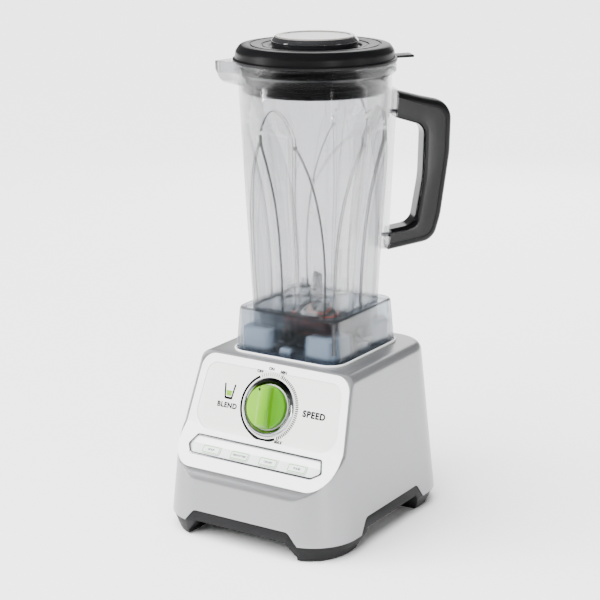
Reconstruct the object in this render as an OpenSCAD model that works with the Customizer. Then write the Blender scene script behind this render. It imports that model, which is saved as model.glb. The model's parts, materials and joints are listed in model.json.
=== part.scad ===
// Countertop blender: powered base with speed dial and four buttons, lift-off jar with handle,
// blade set, push-in lid and measuring cap. Millimetres, +Z up, front panel faces -Y,
// origin at the centre of the footprint on the standing surface.

/* [Base] */
// Half width of the housing at its lower edge
base_hw = 107; // [104:0.5:110]
// Half depth of the housing at its lower edge
base_hd = 124; // [121:0.5:127]
// Corner radius of the housing at its lower edge
base_r = 50; // [44:1:54]
// Height of the deck that carries the jar
deck_z = 178; // [176:0.5:180]
// Inward draft of the housing walls, in degrees
draft = 5.6; // [5:0.1:6]
// Wall thickness of the housing
shell_t = 3; // [2.5:0.1:3.5]
// Height of the housing's lower edge at the feet
edge_z = 17; // [15:0.5:19]
// Height of the housing's lower edge over the arches
arch_z = 30; // [28:0.5:33]

/* [Control panel] */
// Height of the dial's centre
dial_z = 134.5; // [130:0.5:138]
// Depth of the panel's face at the dial's centre, from the footprint's centre
panel_y = -68.7; // [-72:0.1:-66]
// Lean of the panel away from the user, in degrees
panel_lean = 20; // [16:0.5:22]
// Slope of the button shelf, in degrees
shelf_lean = 45; // [40:1:50]
// Radius of the chrome ring
ring_r = 30; // [28:0.5:32]
// Radius of the knob's disc
knob_r = 22.5; // [20:0.5:24]
// Distance between neighbouring buttons
button_pitch = 34.6; // [32:0.2:36]
// Width of a button
button_w = 22; // [18:0.5:26]
// Height of a button along the shelf
button_h = 9.4; // [8:0.2:10]
// Travel of a button
button_travel = 1.2; // [0.8:0.1:1.4]

/* [Jar] */
// Distance of the jar's axis behind the footprint's centre
jar_y = 21.5; // [18:0.5:24]
// Radius of the jar's cone at the shelf of the collar
cone_r_low = 65.4; // [64:0.2:67]
// Radius of the jar's cone below the rim
cone_r_top = 77.8; // [76:0.2:79]
// Half width of the jar's square lower end
square_hw = 50.7; // [49:0.1:52]
// Wall thickness of the jar
jar_t = 3; // [2.5:0.1:3.5]
// Height of the collar's shelf
shelf_z = 224.7; // [222:0.5:227]
// Height of the jar's floor, inside
floor_z = 210; // [208:0.5:212]
// Height of the jar's rim
rim_z = 474.5; // [472:0.5:477]
// Radius of the jar's rim
rim_r = 82; // [81:0.2:83]
// Half width of the collar at its foot
collar_hw = 64.6; // [63:0.2:66]

/* [Lid] */
// Radius of the lid's flange
lid_r = 82.6; // [82:0.1:83.5]
// Radius of the lid's crest
crest_r = 70; // [68:0.5:72]
// Height of the lid's crest
crest_z = 491.5; // [490:0.5:493]
// Radius of the bore that takes the measuring cap
cap_bore_r = 36; // [34:0.5:38]
// Height of the cap's top, which is the blender's full height
top_z = 500; // [498:0.5:502]

/* [Hidden] */
$fn = 96;
eps = 0.01;
gap = 0.3;

// ---- colours ----
silver = [0.74, 0.74, 0.75];
white = [0.93, 0.93, 0.92];
warm_grey = [0.84, 0.84, 0.82];
black = [0.07, 0.07, 0.07];
dark_grey = [0.2, 0.2, 0.21];
blue_grey = [0.6, 0.64, 0.69];
clear = [0.75, 0.78, 0.8, 0.35];
steel = [0.78, 0.78, 0.76];
copper = [0.72, 0.42, 0.2];
brass = [0.78, 0.62, 0.3];
green = [0.55, 0.8, 0.05];
red = [0.8, 0.25, 0.12];
board_green = [0.1, 0.35, 0.2];

// ---- outline helpers ----
// Draft of a housing wall at height z, measured inward from its lower edge
function wall_in(z) = (z - edge_z) * tan(draft);
function unit(v) = v / norm(v);
// Points of an arc of radius r that rounds corner b between points a and c
function fillet(a, b, c, r, n = 6) =
    let (
        u = unit(a - b),
        v = unit(c - b),
        half = acos(u * v) / 2,
        run = r / tan(half),
        mid = b + unit(u + v) * r / sin(half),
        from = b + u * run - mid,
        to = b + v * run - mid,
        start = atan2(from[1], from[0]),
        swing = atan2(from[0] * to[1] - from[1] * to[0], from * to)
    )
    [for (i = [0 : n]) mid + r * [cos(start + swing * i / n), sin(start + swing * i / n)]];
// A closed outline whose corner i is rounded by radii[i]
function rounded(pts, radii, n = 6) =
    let (m = len(pts))
    [for (i = [0 : m - 1])
        let (f = radii[i] > 0
            ? fillet(pts[(i + m - 1) % m], pts[i], pts[(i + 1) % m], radii[i], n)
            : [pts[i]])
        for (p = f) p];
// Where the line through p along u meets the line through q along v
function cross_point(p, u, q, v) =
    let (t = ((q[0] - p[0]) * v[1] - (q[1] - p[1]) * v[0]) / (u[0] * v[1] - u[1] * v[0]))
    p + t * u;
function left_of(v) = [-v[1], v[0]];

// Corner-rounded rectangle from yf to yb, as four discs to be hulled
module corner_discs(hw, yf, yb, r, z, t = 0.02, n = 32) {
    for (x = [-hw + r, hw - r], y = [yf + r, yb - r])
        translate([x, y, z]) cylinder(r = r, h = t, $fn = n);
}
// Rounded rectangle prism with true corner radii
module rounded_prism(hw, hd, r, z, h) {
    translate([0, 0, z]) {
        translate([-hw + r, -hd, 0]) cube([2 * (hw - r), 2 * hd, h]);
        translate([-hw, -hd + r, 0]) cube([2 * hw, 2 * (hd - r), h]);
        for (x = [-1, 1], y = [-1, 1])
            translate([x * (hw - r), y * (hd - r), 0]) cylinder(r = r, h = h);
    }
}
// Extrudes an outline given in [y, z] along X
module along_x(hw) {
    rotate([90, 0, 90]) translate([0, 0, -hw]) linear_extrude(2 * hw) children();
}
// Extrudes an outline given in [x, z] along Y, from y1 to y2
module along_y(y1, y2) {
    translate([0, y2, 0]) rotate([90, 0, 0]) linear_extrude(y2 - y1) children();
}
module at_jar() {
    translate([0, jar_y, 0]) children();
}
// Local +Z stands out of the control panel at the dial's centre
module at_panel() {
    translate([0, panel_y, dial_z]) rotate([90 - panel_lean, 0, 0]) children();
}
shelf_mid_z = 90;
// Local +Z stands out of the button shelf at the strip's centre
module at_shelf() {
    translate([0, shelf_y(shelf_mid_z), shelf_mid_z]) rotate([shelf_lean, 0, 0]) children();
}
// Plane of the handle: [distance from the jar's axis, z], extruded across by w
module in_handle_plane(w) {
    at_jar() rotate([0, 0, 45]) rotate([90, 0, 0]) linear_extrude(w, center = true) children();
}

// ---- front profile ----
function panel_face_y(z) = panel_y + (z - dial_z) * tan(panel_lean);
function shelf_y(z) = -94.5 + (z - shelf_mid_z) / tan(shelf_lean);
function front_wall_y(z) = -base_hd + wall_in(z);
panel_up = [sin(panel_lean), cos(panel_lean)];
shelf_up = [cos(shelf_lean), sin(shelf_lean)];
wall_up = [sin(draft), cos(draft)];
// Front profile in [y, z], moved inward by d and closed behind the base
function front_profile(d) =
    let (
        top = [panel_face_y(dial_z), dial_z] - d * left_of(panel_up),
        mid = [shelf_y(shelf_mid_z), shelf_mid_z] - d * left_of(shelf_up),
        low = [front_wall_y(edge_z), edge_z] - d * left_of(wall_up),
        a = cross_point(top, panel_up, mid, shelf_up),
        b = cross_point(mid, shelf_up, low, wall_up),
        head = top + panel_up * 80,
        foot = low - wall_up * 40
    )
    concat([[200, head[1]]], [head], fillet(head, a, b, 14 + d), fillet(a, b, foot, 14 - d),
        [foot], [[200, foot[1]]]);
module front_band(d1, d2, hw) {
    difference() {
        along_x(hw) polygon(front_profile(d1));
        along_x(hw + 1) polygon(front_profile(d2));
    }
}

// ---- bezel outlines in [x, z] ----
bezel_top = deck_z - 1.6;
bezel_low = 71.6;
bezel_margin = 3.4;
function edge_x(z) = base_hw - wall_in(z) - bezel_margin;
function bezel_outline(m) =
    let (top = bezel_top - m, low = bezel_low + m)
    rounded([[-edge_x(low) + m, low], [edge_x(low) - m, low],
        [edge_x(top) - m, top], [-edge_x(top) + m, top]], [26 - m, 26 - m, 17 - m, 17 - m]);
panel_inset = 8.5;
panel_low = 103;
function panel_outline(m) =
    let (top = bezel_top - m, low = panel_low - panel_inset + m)
    rounded([[-edge_x(low) + m, low], [edge_x(low) - m, low],
        [edge_x(top) - m, top], [-edge_x(top) + m, top]], [18, 18, 17 - m / 2, 17 - m / 2]);

// ---- base ----
arch_half_x = 57;
arch_half_y = 52;
arch_flare = 12;
tray_drop = 12;
// A trapezoid opening under the wall, from z_top down past z_low, cut along Y
module arch_cut(half, z_top, z_low) {
    wide = half + arch_flare;
    along_y(-150, 150) polygon([[-wide, z_low - 20], [-wide, z_low], [-half, z_top], [half, z_top],
        [wide, z_low], [wide, z_low - 20]]);
}
module both_arches(drop) {
    arch_cut(arch_half_x - drop / 4, arch_z - drop, edge_z - drop - 1);
    rotate([0, 0, 90]) arch_cut(arch_half_y - drop / 4, arch_z + 2.5 - drop, edge_z - drop - 1);
}
shoulder_r = 10;
// The front is this much thicker, to carry the bezel and the panel
front_extra = 3;
module housing_solid(d) {
    top = deck_z - d;
    hull() {
        corner_discs(base_hw - d, -base_hd + d, base_hd - d, base_r - d, edge_z - 5 * sign(d));
        corner_discs(base_hw - d - wall_in(deck_z - shoulder_r), -base_hd + d,
            base_hd - d - wall_in(deck_z - shoulder_r), 36 - d, top - shoulder_r);
        corner_discs(base_hw - d - wall_in(deck_z) - 2.4, -base_hd + d,
            base_hd - d - wall_in(deck_z) - 2.4, 34 - d, top - 3.2);
        corner_discs(base_hw - d - wall_in(deck_z) - shoulder_r, -base_hd + d,
            base_hd - d - wall_in(deck_z) - shoulder_r, 28 - d, top - 0.02);
    }
}
drive_hole_r = 22;
gland_z = 46;
module housing() {
    color(silver) difference() {
        intersection() {
            housing_solid(0);
            along_x(150) polygon(front_profile(0));
        }
        intersection() {
            housing_solid(shell_t);
            along_x(140) polygon(front_profile(shell_t + front_extra));
        }
        intersection() {
            front_band(-5, 3, 120);
            along_y(-140, -30) polygon(bezel_outline(0));
        }
        translate([0, 0, edge_z - 40]) cube([300, 300, 80], center = true);
        both_arches(0);
        at_jar() cylinder(r = drive_hole_r, h = 300);
        at_panel() cylinder(r = 6, h = 40, center = true);
        at_shelf() translate([0, -4.7, 0]) cube([136, 14, 60], center = true);
        translate([60, base_hd, gland_z]) rotate([90, 0, 0]) cylinder(r = 8, h = 40, center = true);
        for (i = [-3 : 3]) translate([i * 13 - 3, base_hd - 30, 70]) cube([6, 40, 34]);
    }
}

module front_bezel() {
    color(white) difference() {
        intersection() {
            front_band(0, 3 - gap / 3, 120);
            along_y(-140, -30) polygon(bezel_outline(0.2));
        }
        intersection() {
            front_band(-5, 5, 120);
            along_y(-140, -30) polygon(panel_outline(panel_inset - 0.15));
        }
        at_shelf() strip_shape(trim_hw, trim_hh, -10, 20);
    }
}
module control_panel() {
    color(warm_grey) difference() {
        intersection() {
            front_band(0.5, 3 - gap / 3, 120);
            along_y(-140, -30) polygon(panel_outline(panel_inset));
        }
        at_panel() cylinder(r = 4.6, h = 40, center = true);
        at_shelf() strip_shape(trim_hw, trim_hh, -10, 20);
    }
}
trim_hw = 81.5;
trim_hh = 11.8;
trim_t = 2.4;
// Strip outline: a long plate with cut-off ends, in the shelf's own axes
module strip_shape(hw, hh, z, h) {
    cut = 0.55 * hh;
    translate([0, 0, z]) linear_extrude(h) polygon(rounded([
        [-hw, hh - 2 * cut], [-hw + cut, -hh], [hw - 1.6 * cut, -hh], [hw, -hh + 1.2 * cut],
        [hw - cut, hh], [-hw + cut, hh]], [3, 4, 5, 3, 3, 3], 4));
}
module strip_trim() {
    color([0.8, 0.8, 0.82]) difference() {
        at_shelf() strip_shape(trim_hw - 0.1, trim_hh - 0.1, -2.8, 3.4);
        at_shelf() strip_shape(trim_hw - trim_t, trim_hh - trim_t, -10, 20);
    }
}
button_drop = -3.2;
module button_strip() {
    color(warm_grey) difference() {
        at_shelf() strip_shape(trim_hw - trim_t - 0.1, trim_hh - trim_t - 0.1, -2.8, 2.0);
        for (i = [0 : 3]) at_shelf() translate([(i - 1.5) * button_pitch, button_drop, -5])
            rounded_prism(button_w / 2 + 0.25, button_h / 2 + 0.25, 1.75, 0, 10);
    }
}
module button(i) {
    color(white) at_shelf() translate([(i - 1.5) * button_pitch, button_drop, 0]) {
        rounded_prism(button_w / 2, button_h / 2, 1.5, -2.6, 2.6);
        translate([0, 0, -5.4]) cylinder(r = 2.4, h = 3);
    }
}
module button_1() { button(0); }
module button_2() { button(1); }
module button_3() { button(2); }
module button_4() { button(3); }
module button_board() {
    color(board_green) at_shelf() translate([0, button_drop, 0]) {
        translate([-64, -5.5, -11.8]) cube([128, 11, 1.6]);
        for (i = [0 : 3]) translate([(i - 1.5) * button_pitch - 3, -3, -10.2]) cube([6, 6, 3.4]);
    }
}
module dial_ring() {
    color([0.8, 0.8, 0.82]) at_panel() translate([0, 0, -0.48]) rotate_extrude()
        polygon([[knob_r + 1.2, 0], [ring_r, 0], [ring_r, 1.2], [ring_r - 2.2, 3.4],
            [ring_r - 3.6, 3.4], [knob_r + 1.2, 1]]);
}
knob_h = 6.5;
grip_w = 15;
module speed_knob() {
    color(green) at_panel() difference() {
        union() {
            translate([0, 0, 0.4]) cylinder(r = knob_r, h = knob_h - 1.4);
            translate([0, 0, knob_h - 1]) cylinder(r1 = knob_r, r2 = knob_r - 1, h = 1);
            intersection() {
                rotate([0, 0, 4]) translate([-grip_w / 2, -knob_r, knob_h - 1])
                    cube([grip_w, 2 * knob_r, 8.4]);
                cylinder(r1 = knob_r + 1, r2 = knob_r - 3.5, h = 20);
            }
        }
        translate([0, 0, -eps]) cylinder(r = 3.02, h = 6);
        pointer_shape(0.1);
    }
}
off_angle = 25;
module pointer_shape(c) {
    rotate([0, 0, off_angle]) translate([-3.2 - c, knob_r - 6.5 - c, 3 - c])
        cube([6.4 + 2 * c, 4.4 + 2 * c, knob_h - 3 + 0.6 + c]);
}
module knob_pointer() {
    color(black) at_panel() pointer_shape(0);
}
module knob_shaft() {
    color(steel) at_panel() difference() {
        translate([0, 0, -14]) cylinder(r = 3, h = 19);
        translate([1.8, -5, 0.4]) cube([5, 10, 6]);
    }
}
module speed_switch() {
    color(dark_grey) at_panel() difference() {
        union() {
            translate([-13, -13, -20]) cube([26, 26, 12]);
            translate([0, 0, -8.1]) cylinder(r = 4.4, h = 7);
        }
        translate([0, 0, -16]) cylinder(r = 3.05, h = 20);
    }
}

seat_t = 1;
post_top = 203;
module post() {
    difference() {
        hull() {
            translate([38.5, 38.5, deck_z + seat_t - eps]) rounded_prism(19, 19, 9, 0, 0.1, $fn = 32);
            translate([38.5, 38.5, post_top - 2]) rounded_prism(18.2, 18.2, 9, 0, 0.1, $fn = 32);
            translate([38.5, 38.5, post_top - 0.1]) rounded_prism(16.6, 16.6, 8, 0, 0.1, $fn = 32);
        }
        translate([0, 0, deck_z]) cylinder(r = 49, h = 40);
    }
}
module jar_seat() {
    color(blue_grey) at_jar() {
        difference() {
            rounded_prism(collar_hw + 0.2, collar_hw + 0.2, 18.4, deck_z, seat_t);
            translate([0, 0, deck_z - 1]) cylinder(r = 19, h = 4);
        }
        for (a = [0 : 90 : 270]) rotate([0, 0, a]) post();
        for (a = [0 : 90 : 270]) rotate([0, 0, a])
            translate([54, -6, deck_z + seat_t - eps]) cube([5, 12, 9]);
    }
}
module seat_rim() {
    color(white) at_jar() difference() {
        rounded_prism(collar_hw + 2, collar_hw + 2, 20.2, deck_z, 2.4);
        rounded_prism(collar_hw + 0.3, collar_hw + 0.3, 18.5, deck_z - 1, 5);
    }
}
foot_x = 79;
foot_y = 100;
module tray_solid(d, z1) {
    hull() {
        corner_discs(98.5 - d, -120.7 + d, 120.7 - d, 46 - d, z1);
        corner_discs(base_hw - 0.6 - d, -base_hd + 0.6 + d, base_hd - 0.6 - d, base_r - 0.6 - d,
            edge_z - 0.02);
        corner_discs(base_hw - 0.6 - d - wall_in(arch_z + 6), -base_hd + 0.6 + d + wall_in(arch_z + 6),
            base_hd - 0.6 - d - wall_in(arch_z + 6), base_r - 2 - d, arch_z + 6);
    }
}
// Room between the housing's wall and the tray's upstand
tray_gap = 1.4;
module base_tray() {
    color(dark_grey) difference() {
        tray_solid(0, 1.2);
        tray_solid(6.5, 21);
        // room for the housing's lower wall
        difference() {
            translate([-150, -150, edge_z - 0.1]) cube([300, 300, 60]);
            hull() {
                corner_discs(base_hw - shell_t - tray_gap, -base_hd + shell_t + front_extra + tray_gap,
                    base_hd - shell_t - tray_gap, base_r - shell_t, edge_z - 1);
                corner_discs(base_hw - shell_t - tray_gap - wall_in(arch_z + 9),
                    -base_hd + shell_t + front_extra + tray_gap + wall_in(arch_z + 9),
                    base_hd - shell_t - tray_gap - wall_in(arch_z + 9), base_r - shell_t - 1, arch_z + 9);
            }
            translate([0, 0, -0.15]) both_arches(0);
        }
        translate([0, 0, 1]) both_arches(tray_drop);
        for (a = [-40 : 10 : 40]) at_jar() translate([a - 2.5, -36, 0]) cube([5, 72, 40]);
        for (x = [-1, 1], y = [-1, 1]) translate([x * foot_x, y * foot_y, 0]) {
            translate([0, 0, -eps]) cylinder(r = 9.2, h = 4);
            cylinder(r = 2.2, h = 40);
        }
    }
}
module rubber_feet() {
    color(black) for (x = [-1, 1], y = [-1, 1]) translate([x * foot_x, y * foot_y, 0]) difference() {
        cylinder(r = 9, h = 3.9);
        translate([0, 0, -eps]) cylinder(r = 4.5, h = 2.6);
        cylinder(r = 2.4, h = 10);
    }
}
module base_screws() {
    color(steel) for (x = [-1, 1], y = [-1, 1]) translate([x * foot_x, y * foot_y, 0]) {
        translate([0, 0, 1.5]) cylinder(r = 4, h = 0.9);
        translate([0, 0, 2.3]) cylinder(r = 2, h = 20);
    }
}
module cord_gland() {
    color(black) translate([60, base_hd - wall_in(gland_z) - 4.2, gland_z]) rotate([-90, 0, 0])
    difference() {
        union() {
            translate([0, 0, -2.3]) cylinder(r = 7.8, h = 6.3);
            translate([0, 0, -3.4]) cylinder(r = 9.6, h = 1.6);
        }
        translate([0, 0, -5]) cylinder(r = 4, h = 20);
    }
}

// ---- motor ----
stack_low = 76;
stack_top = 124;
stack_r = 42;
shaft_r = 5;
module ring(r_out, r_in, z1, z2) {
    difference() {
        translate([0, 0, z1]) cylinder(r = r_out, h = z2 - z1);
        translate([0, 0, z1 - 1]) cylinder(r = r_in, h = z2 - z1 + 2);
    }
}
module coil(c) {
    difference() {
        translate([26 - c, -21 - c, stack_low - 8 - c]) cube([7 + 2 * c, 42 + 2 * c, 64 + 2 * c]);
        translate([20, -14 + c, stack_low - 1 + c]) cube([20, 28 - 2 * c, 50 - 2 * c]);
    }
}
module motor_stator() {
    color(steel) at_jar() difference() {
        ring(stack_r, 24.6, stack_low, stack_top);
        for (a = [0, 180]) rotate([0, 0, a]) coil(0.2);
    }
}
module field_coils() {
    color(copper) at_jar() for (a = [0, 180]) rotate([0, 0, a]) coil(0);
}
bolt_r = 46.5;
module bracket(z, h) {
    difference() {
        union() {
            translate([0, 0, z]) cylinder(r = 17, h = h);
            for (a = [45 : 90 : 315]) rotate([0, 0, a]) {
                translate([10, -6, z]) cube([bolt_r - 10, 12, 5]);
                translate([bolt_r, 0, z]) cylinder(r = 6, h = 5);
            }
        }
        translate([0, 0, z - 1]) cylinder(r = 11.02, h = h + 2);
        for (a = [45 : 90 : 315]) rotate([0, 0, a])
            translate([bolt_r, 0, z - 1]) cylinder(r = 2.3, h = 20);
    }
}
module upper_bracket() {
    color(steel) at_jar() bracket(136, 9);
}
module lower_bracket() {
    color(steel) at_jar() bracket(44, 9);
}
module motor_bearings() {
    color(steel) at_jar() {
        ring(11, shaft_r + 0.04, 137, 144);
        ring(11, shaft_r + 0.04, 45, 52);
    }
}
module motor_bolts() {
    color(steel) at_jar() for (a = [45 : 90 : 315]) rotate([0, 0, a]) translate([bolt_r, 0, 0]) {
        translate([0, 0, 41]) cylinder(r = 2.1, h = 102);
        translate([0, 0, 40.6]) cylinder(r = 4, h = 3.3, $fn = 6);
    }
}
module motor_mounts() {
    color(black) at_jar() for (a = [45 : 90 : 315]) rotate([0, 0, a]) translate([bolt_r, 0, 0])
        difference() {
            translate([0, 0, 141.1]) cylinder(r = 8, h = deck_z - shell_t - 141.3);
            translate([0, 0, 140]) cylinder(r = 2.3, h = 4);
        }
}
module brush_holders() {
    color(brass) at_jar() for (a = [0, 180]) rotate([0, 0, a]) difference() {
        translate([15.4, -4.5, 58]) cube([24, 9, 9]);
        translate([30, -2.5, 60]) cube([20, 5, 5]);
    }
}
module control_board() {
    color(board_green) {
        translate([-78, -30, 50]) cube([1.6, 80, 60]);
        translate([-76.4, -20, 58]) cube([14, 24, 20]);
        translate([-76.4, 20, 66]) cube([10, 18, 26]);
        translate([-79, 30, 34]) cube([4, 12, 16]);
        translate([-79, -24, 34]) cube([4, 12, 16]);
    }
}
module motor_shaft() {
    color(steel) at_jar() translate([0, 0, 26]) cylinder(r = shaft_r, h = 156);
}
module armature() {
    color(steel) at_jar() difference() {
        ring(24, shaft_r, stack_low, stack_top);
        for (a = [0 : 30 : 330]) rotate([0, 0, a]) translate([19, -1.2, stack_low - 1])
            cube([8, 2.4, 60]);
    }
}
module commutator() {
    color(copper) at_jar() difference() {
        ring(15, shaft_r, 56, 70);
        for (a = [0 : 30 : 330]) rotate([0, 0, a]) translate([13.6, -0.4, 55]) cube([3, 0.8, 12]);
    }
}
module cooling_fan() {
    color(black) at_jar() {
        ring(10, shaft_r, 27, 41);
        ring(36, 9.8, 27, 29);
        for (a = [0 : 30 : 330]) rotate([0, 0, a]) translate([14, -1, 28.9]) cube([21, 2, 10]);
    }
}
hex_r = 8.6;
module drive_socket() {
    color(dark_grey) at_jar() difference() {
        union() {
            translate([0, 0, 170]) cylinder(r = 12, h = 12);
            translate([0, 0, 180.5]) cylinder(r = 16, h = 14);
        }
        translate([0, 0, 184.5]) cylinder(r = hex_r, h = 12, $fn = 6);
        translate([0, 0, 169]) cylinder(r = shaft_r, h = 13);
    }
}

// ---- jar ----
cone_slope = (cone_r_top - cone_r_low) / (461 - shelf_z);
function cone_r(z) = cone_r_low + (z - shelf_z) * cone_slope;
face_curve = 710;
face_start_z = 228;
// Distance of the flat faces from the jar's axis at height z
function face_d(z) =
    square_hw + face_curve - sqrt(pow(face_curve, 2) - pow(max(0, z - face_start_z), 2));
// The space outside one flat face, in [distance, z], moved inward by d
function face_outside(d) = concat([[150, 0], [150, 470]],
    [for (i = [16 : -1 : 0]) let (z = face_start_z + i * 15) [face_d(z) - d, z]],
    [[square_hw - d, 0]]);
// A leg of a flute from [z, radius, distance] a to b, grown by g and run on by e at both ends
module flute_leg(a, b, g, e) {
    axis = [b[2] - a[2], b[0] - a[0]];
    long = norm(axis);
    taper = (b[1] - a[1]) / long;
    translate([a[2], 0, a[0]]) rotate([0, atan2(axis[0], axis[1]), 0]) translate([0, 0, -e])
        cylinder(r1 = a[1] + g - e * taper, r2 = b[1] + g + e * taper, h = long + 2 * e);
}
// Each flute's [z, radius, distance from the jar's axis]: narrow at the floor, arched at the top
flute_path = [[205, 7, 57], [343, 16, 72.3], [407, 24, 87.2], [440, 24, 105]];
module flute(g) {
    flute_leg(flute_path[0], flute_path[1], g, 1);
    flute_leg(flute_path[1], flute_path[2], g, 2);
    flute_leg(flute_path[2], flute_path[3], g, 3.4);
}
// Solid form of the jar's body, moved inward by d
module jar_form(d, z1, z2) {
    difference() {
        translate([0, 0, z1])
            cylinder(r1 = cone_r(z1) - d, r2 = cone_r(z2) - d, h = z2 - z1);
        for (a = [0 : 90 : 270]) rotate([0, 0, a]) {
            rotate([90, 0, 0]) linear_extrude(300, center = true) polygon(face_outside(d));
            flute(d);
        }
    }
}
// Jar body below the collar's shelf
module jar_boot(d, z1, h) {
    rounded_prism(square_hw - 0.7 - d, square_hw - 0.7 - d, 12 - d, z1, h);
}
module spout_plan(m) {
    rotate([0, 0, 225]) polygon(rounded([[60, -32 + m], [101 - 1.6 * m, -3], [101 - 1.6 * m, 3],
        [60, 32 - m]], [0, 4, 4, 0], 4));
}
module spout_solid(m, z1, z2) {
    intersection() {
        translate([0, 0, z1]) linear_extrude(z2 - z1) spout_plan(m);
        rotate([0, 0, 225]) rotate([90, 0, 0]) linear_extrude(100, center = true)
            polygon([[60, 440 + 1.5 * m], [76, 454 + 1.2 * m], [95, 457 + m],
                [102, 472 + m], [102, 490], [60, 490]]);
    }
}
spout_top = 477.2;
// Radius at which the spout's block stops inside the rim
spout_root_r = 79.5;
module jar_shell() {
    difference() {
        union() {
            jar_form(0, shelf_z, 461);
            jar_boot(0, floor_z - 6, shelf_z - floor_z + 6.5);
            translate([0, 0, 460.9]) cylinder(r1 = cone_r_top, r2 = rim_r, h = 4.2);
            translate([0, 0, 465]) cylinder(r = rim_r, h = rim_z - 465);
        }
        jar_form(jar_t, shelf_z - 1, 461.1);
        jar_boot(jar_t, floor_z, shelf_z - floor_z);
        translate([0, 0, 461]) cylinder(r1 = cone_r_top - jar_t, r2 = rim_r - 4, h = 4);
        translate([0, 0, 464.9]) cylinder(r = rim_r - 4, h = 20);
        translate([0, 0, floor_z - 10]) cylinder(r = hub_r + 0.2, h = 20);
    }
}
module jar() {
    color(clear) at_jar() difference() {
        union() {
            jar_shell();
            difference() {
                spout_solid(0, 440, spout_top);
                translate([0, 0, rim_z]) cylinder(r = lid_r + 0.5, h = 10);
                translate([0, 0, 430]) cylinder(r = spout_root_r, h = 60);
            }
        }
        spout_solid(2.4, 466, 490);
    }
}
collar_top_hw = 60.7;
module collar_solid(d) {
    hull() {
        corner_discs(collar_hw - d, -collar_hw + d, collar_hw - d, 18.2 - d,
            deck_z + seat_t - 9 * eps * sign(d));
        corner_discs(collar_top_hw + 0.3 - d, -collar_top_hw - 0.3 + d, collar_top_hw + 0.3 - d, 15 - d,
            shelf_z - 3 - d);
        corner_discs(collar_top_hw - 2.6 - d, -collar_top_hw + 2.6 + d, collar_top_hw - 2.6 - d, 12.6 - d,
            shelf_z - 0.02 - d);
    }
}
module jar_collar() {
    color(clear) at_jar() difference() {
        union() {
            difference() {
                collar_solid(0);
                collar_solid(2.8);
            }
            intersection() {
                collar_solid(1);
                for (a = [0 : 90 : 270], y = [-14, 6, 14]) rotate([0, 0, a])
                    translate([50.5, y - 0.9, 192]) cube([11, 1.8, 32]);
            }
        }
        rounded_prism(square_hw - 0.6, square_hw - 0.6, 12, 180, 60);
    }
}
// Handle outlines in [distance from the jar's axis, z]
function grip_outer(m) = rounded([[60, 442 - m], [112 - m / 2, 434.5 - m],
    [141.5 - m, 428 - m], [140.4 - m, 378], [131.5 - m, 312], [124 - m, 285 + m], [60, 276.5 + m]],
    [0, 40, 20 - m / 2, 90, 90, 19 - m / 2, 0], 8);
grip_seam = rounded([[60, 436], [109, 427.5], [134, 422], [133.2, 378], [124.6, 314],
    [118.6, 292], [60, 284]], [0, 30, 14, 80, 80, 14, 0], 8);
grip_hole = rounded([[60, 414.5], [111.5, 405.4], [110, 352], [101.8, 303.2], [60, 299]],
    [0, 12, 120, 14, 0], 6);
// Outer face of the bracket on the jar's corner
function spine_u(z) = cone_r(z) + 7;
module spine_side(m) {
    polygon([[60, 250], [spine_u(270) + m, 250], [spine_u(270) + m, 270], [spine_u(440) + m, 440],
        [spine_u(440) + m, 460], [60, 460]]);
}
module handle_bracket() {
    color(clear) difference() {
        union() {
            intersection() {
                in_handle_plane(15) spine_side(0);
                in_handle_plane(40) polygon([[60, 284], [90, 284], [90, 444], [60, 444]]);
            }
            at_jar() rotate([0, 0, 45]) intersection() {
                translate([60, 0, 284]) rotate([0, 90, 0]) cylinder(r = 7.5, h = 40);
                rotate([90, 0, 0]) linear_extrude(40, center = true) spine_side(0);
            }
        }
        at_jar() translate([0, 0, 200])
            cylinder(r1 = cone_r(200) + 0.1, r2 = cone_r(461) + 0.1, h = 261);
        for (z = screw_z) at_screw(z) cylinder(r = 2.2, h = 40, center = true);
    }
}
screw_z = [420, 292];
module at_screw(z) {
    at_jar() rotate([0, 0, 45]) translate([spine_u(z), 0, z]) rotate([0, 90, 0]) children();
}
grip_w_core = 23;
// Widths of the cover's layers and how far each stands back from its outline
grip_layers = [[29, 7], [24, 3], [14, 0]];
module handle_core() {
    color(black) difference() {
        in_handle_plane(grip_w_core) polygon(grip_seam);
        in_handle_plane(60) polygon(grip_hole);
        in_handle_plane(60) spine_side(0.2);
        for (z = screw_z) at_screw(z) cylinder(r = 2.2, h = 26, center = true);
    }
}
module handle_shell() {
    color(black) difference() {
        for (l = grip_layers) in_handle_plane(l[0]) polygon(grip_outer(l[1]));
        in_handle_plane(60) polygon(grip_seam);
        in_handle_plane(60) spine_side(0.2);
    }
}
module handle_screws() {
    color(steel) for (z = screw_z) at_screw(z) translate([0, 0, -6.4]) cylinder(r = 2, h = 18);
}
hub_r = 17;
module bearing_housing() {
    color(black) at_jar() rotate_extrude() polygon([
        [11.02, 199], [11.02, 216], [hub_r, 216], [hub_r, floor_z - 6.1], [46.5, floor_z - 6.1],
        [46.5, 197], [43, 196], [41.5, 189], [21, 189], [21, 199]]);
}
blade_shaft_r = 4;
module jar_bearings() {
    color(steel) at_jar() {
        ring(11, blade_shaft_r + 0.04, 200, 206);
        ring(11, blade_shaft_r + 0.04, 209, 215);
    }
}
module blade_gasket() {
    color(red) at_jar() ring(24.5, hub_r + 0.3, floor_z, floor_z + 2.4);
}
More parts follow.
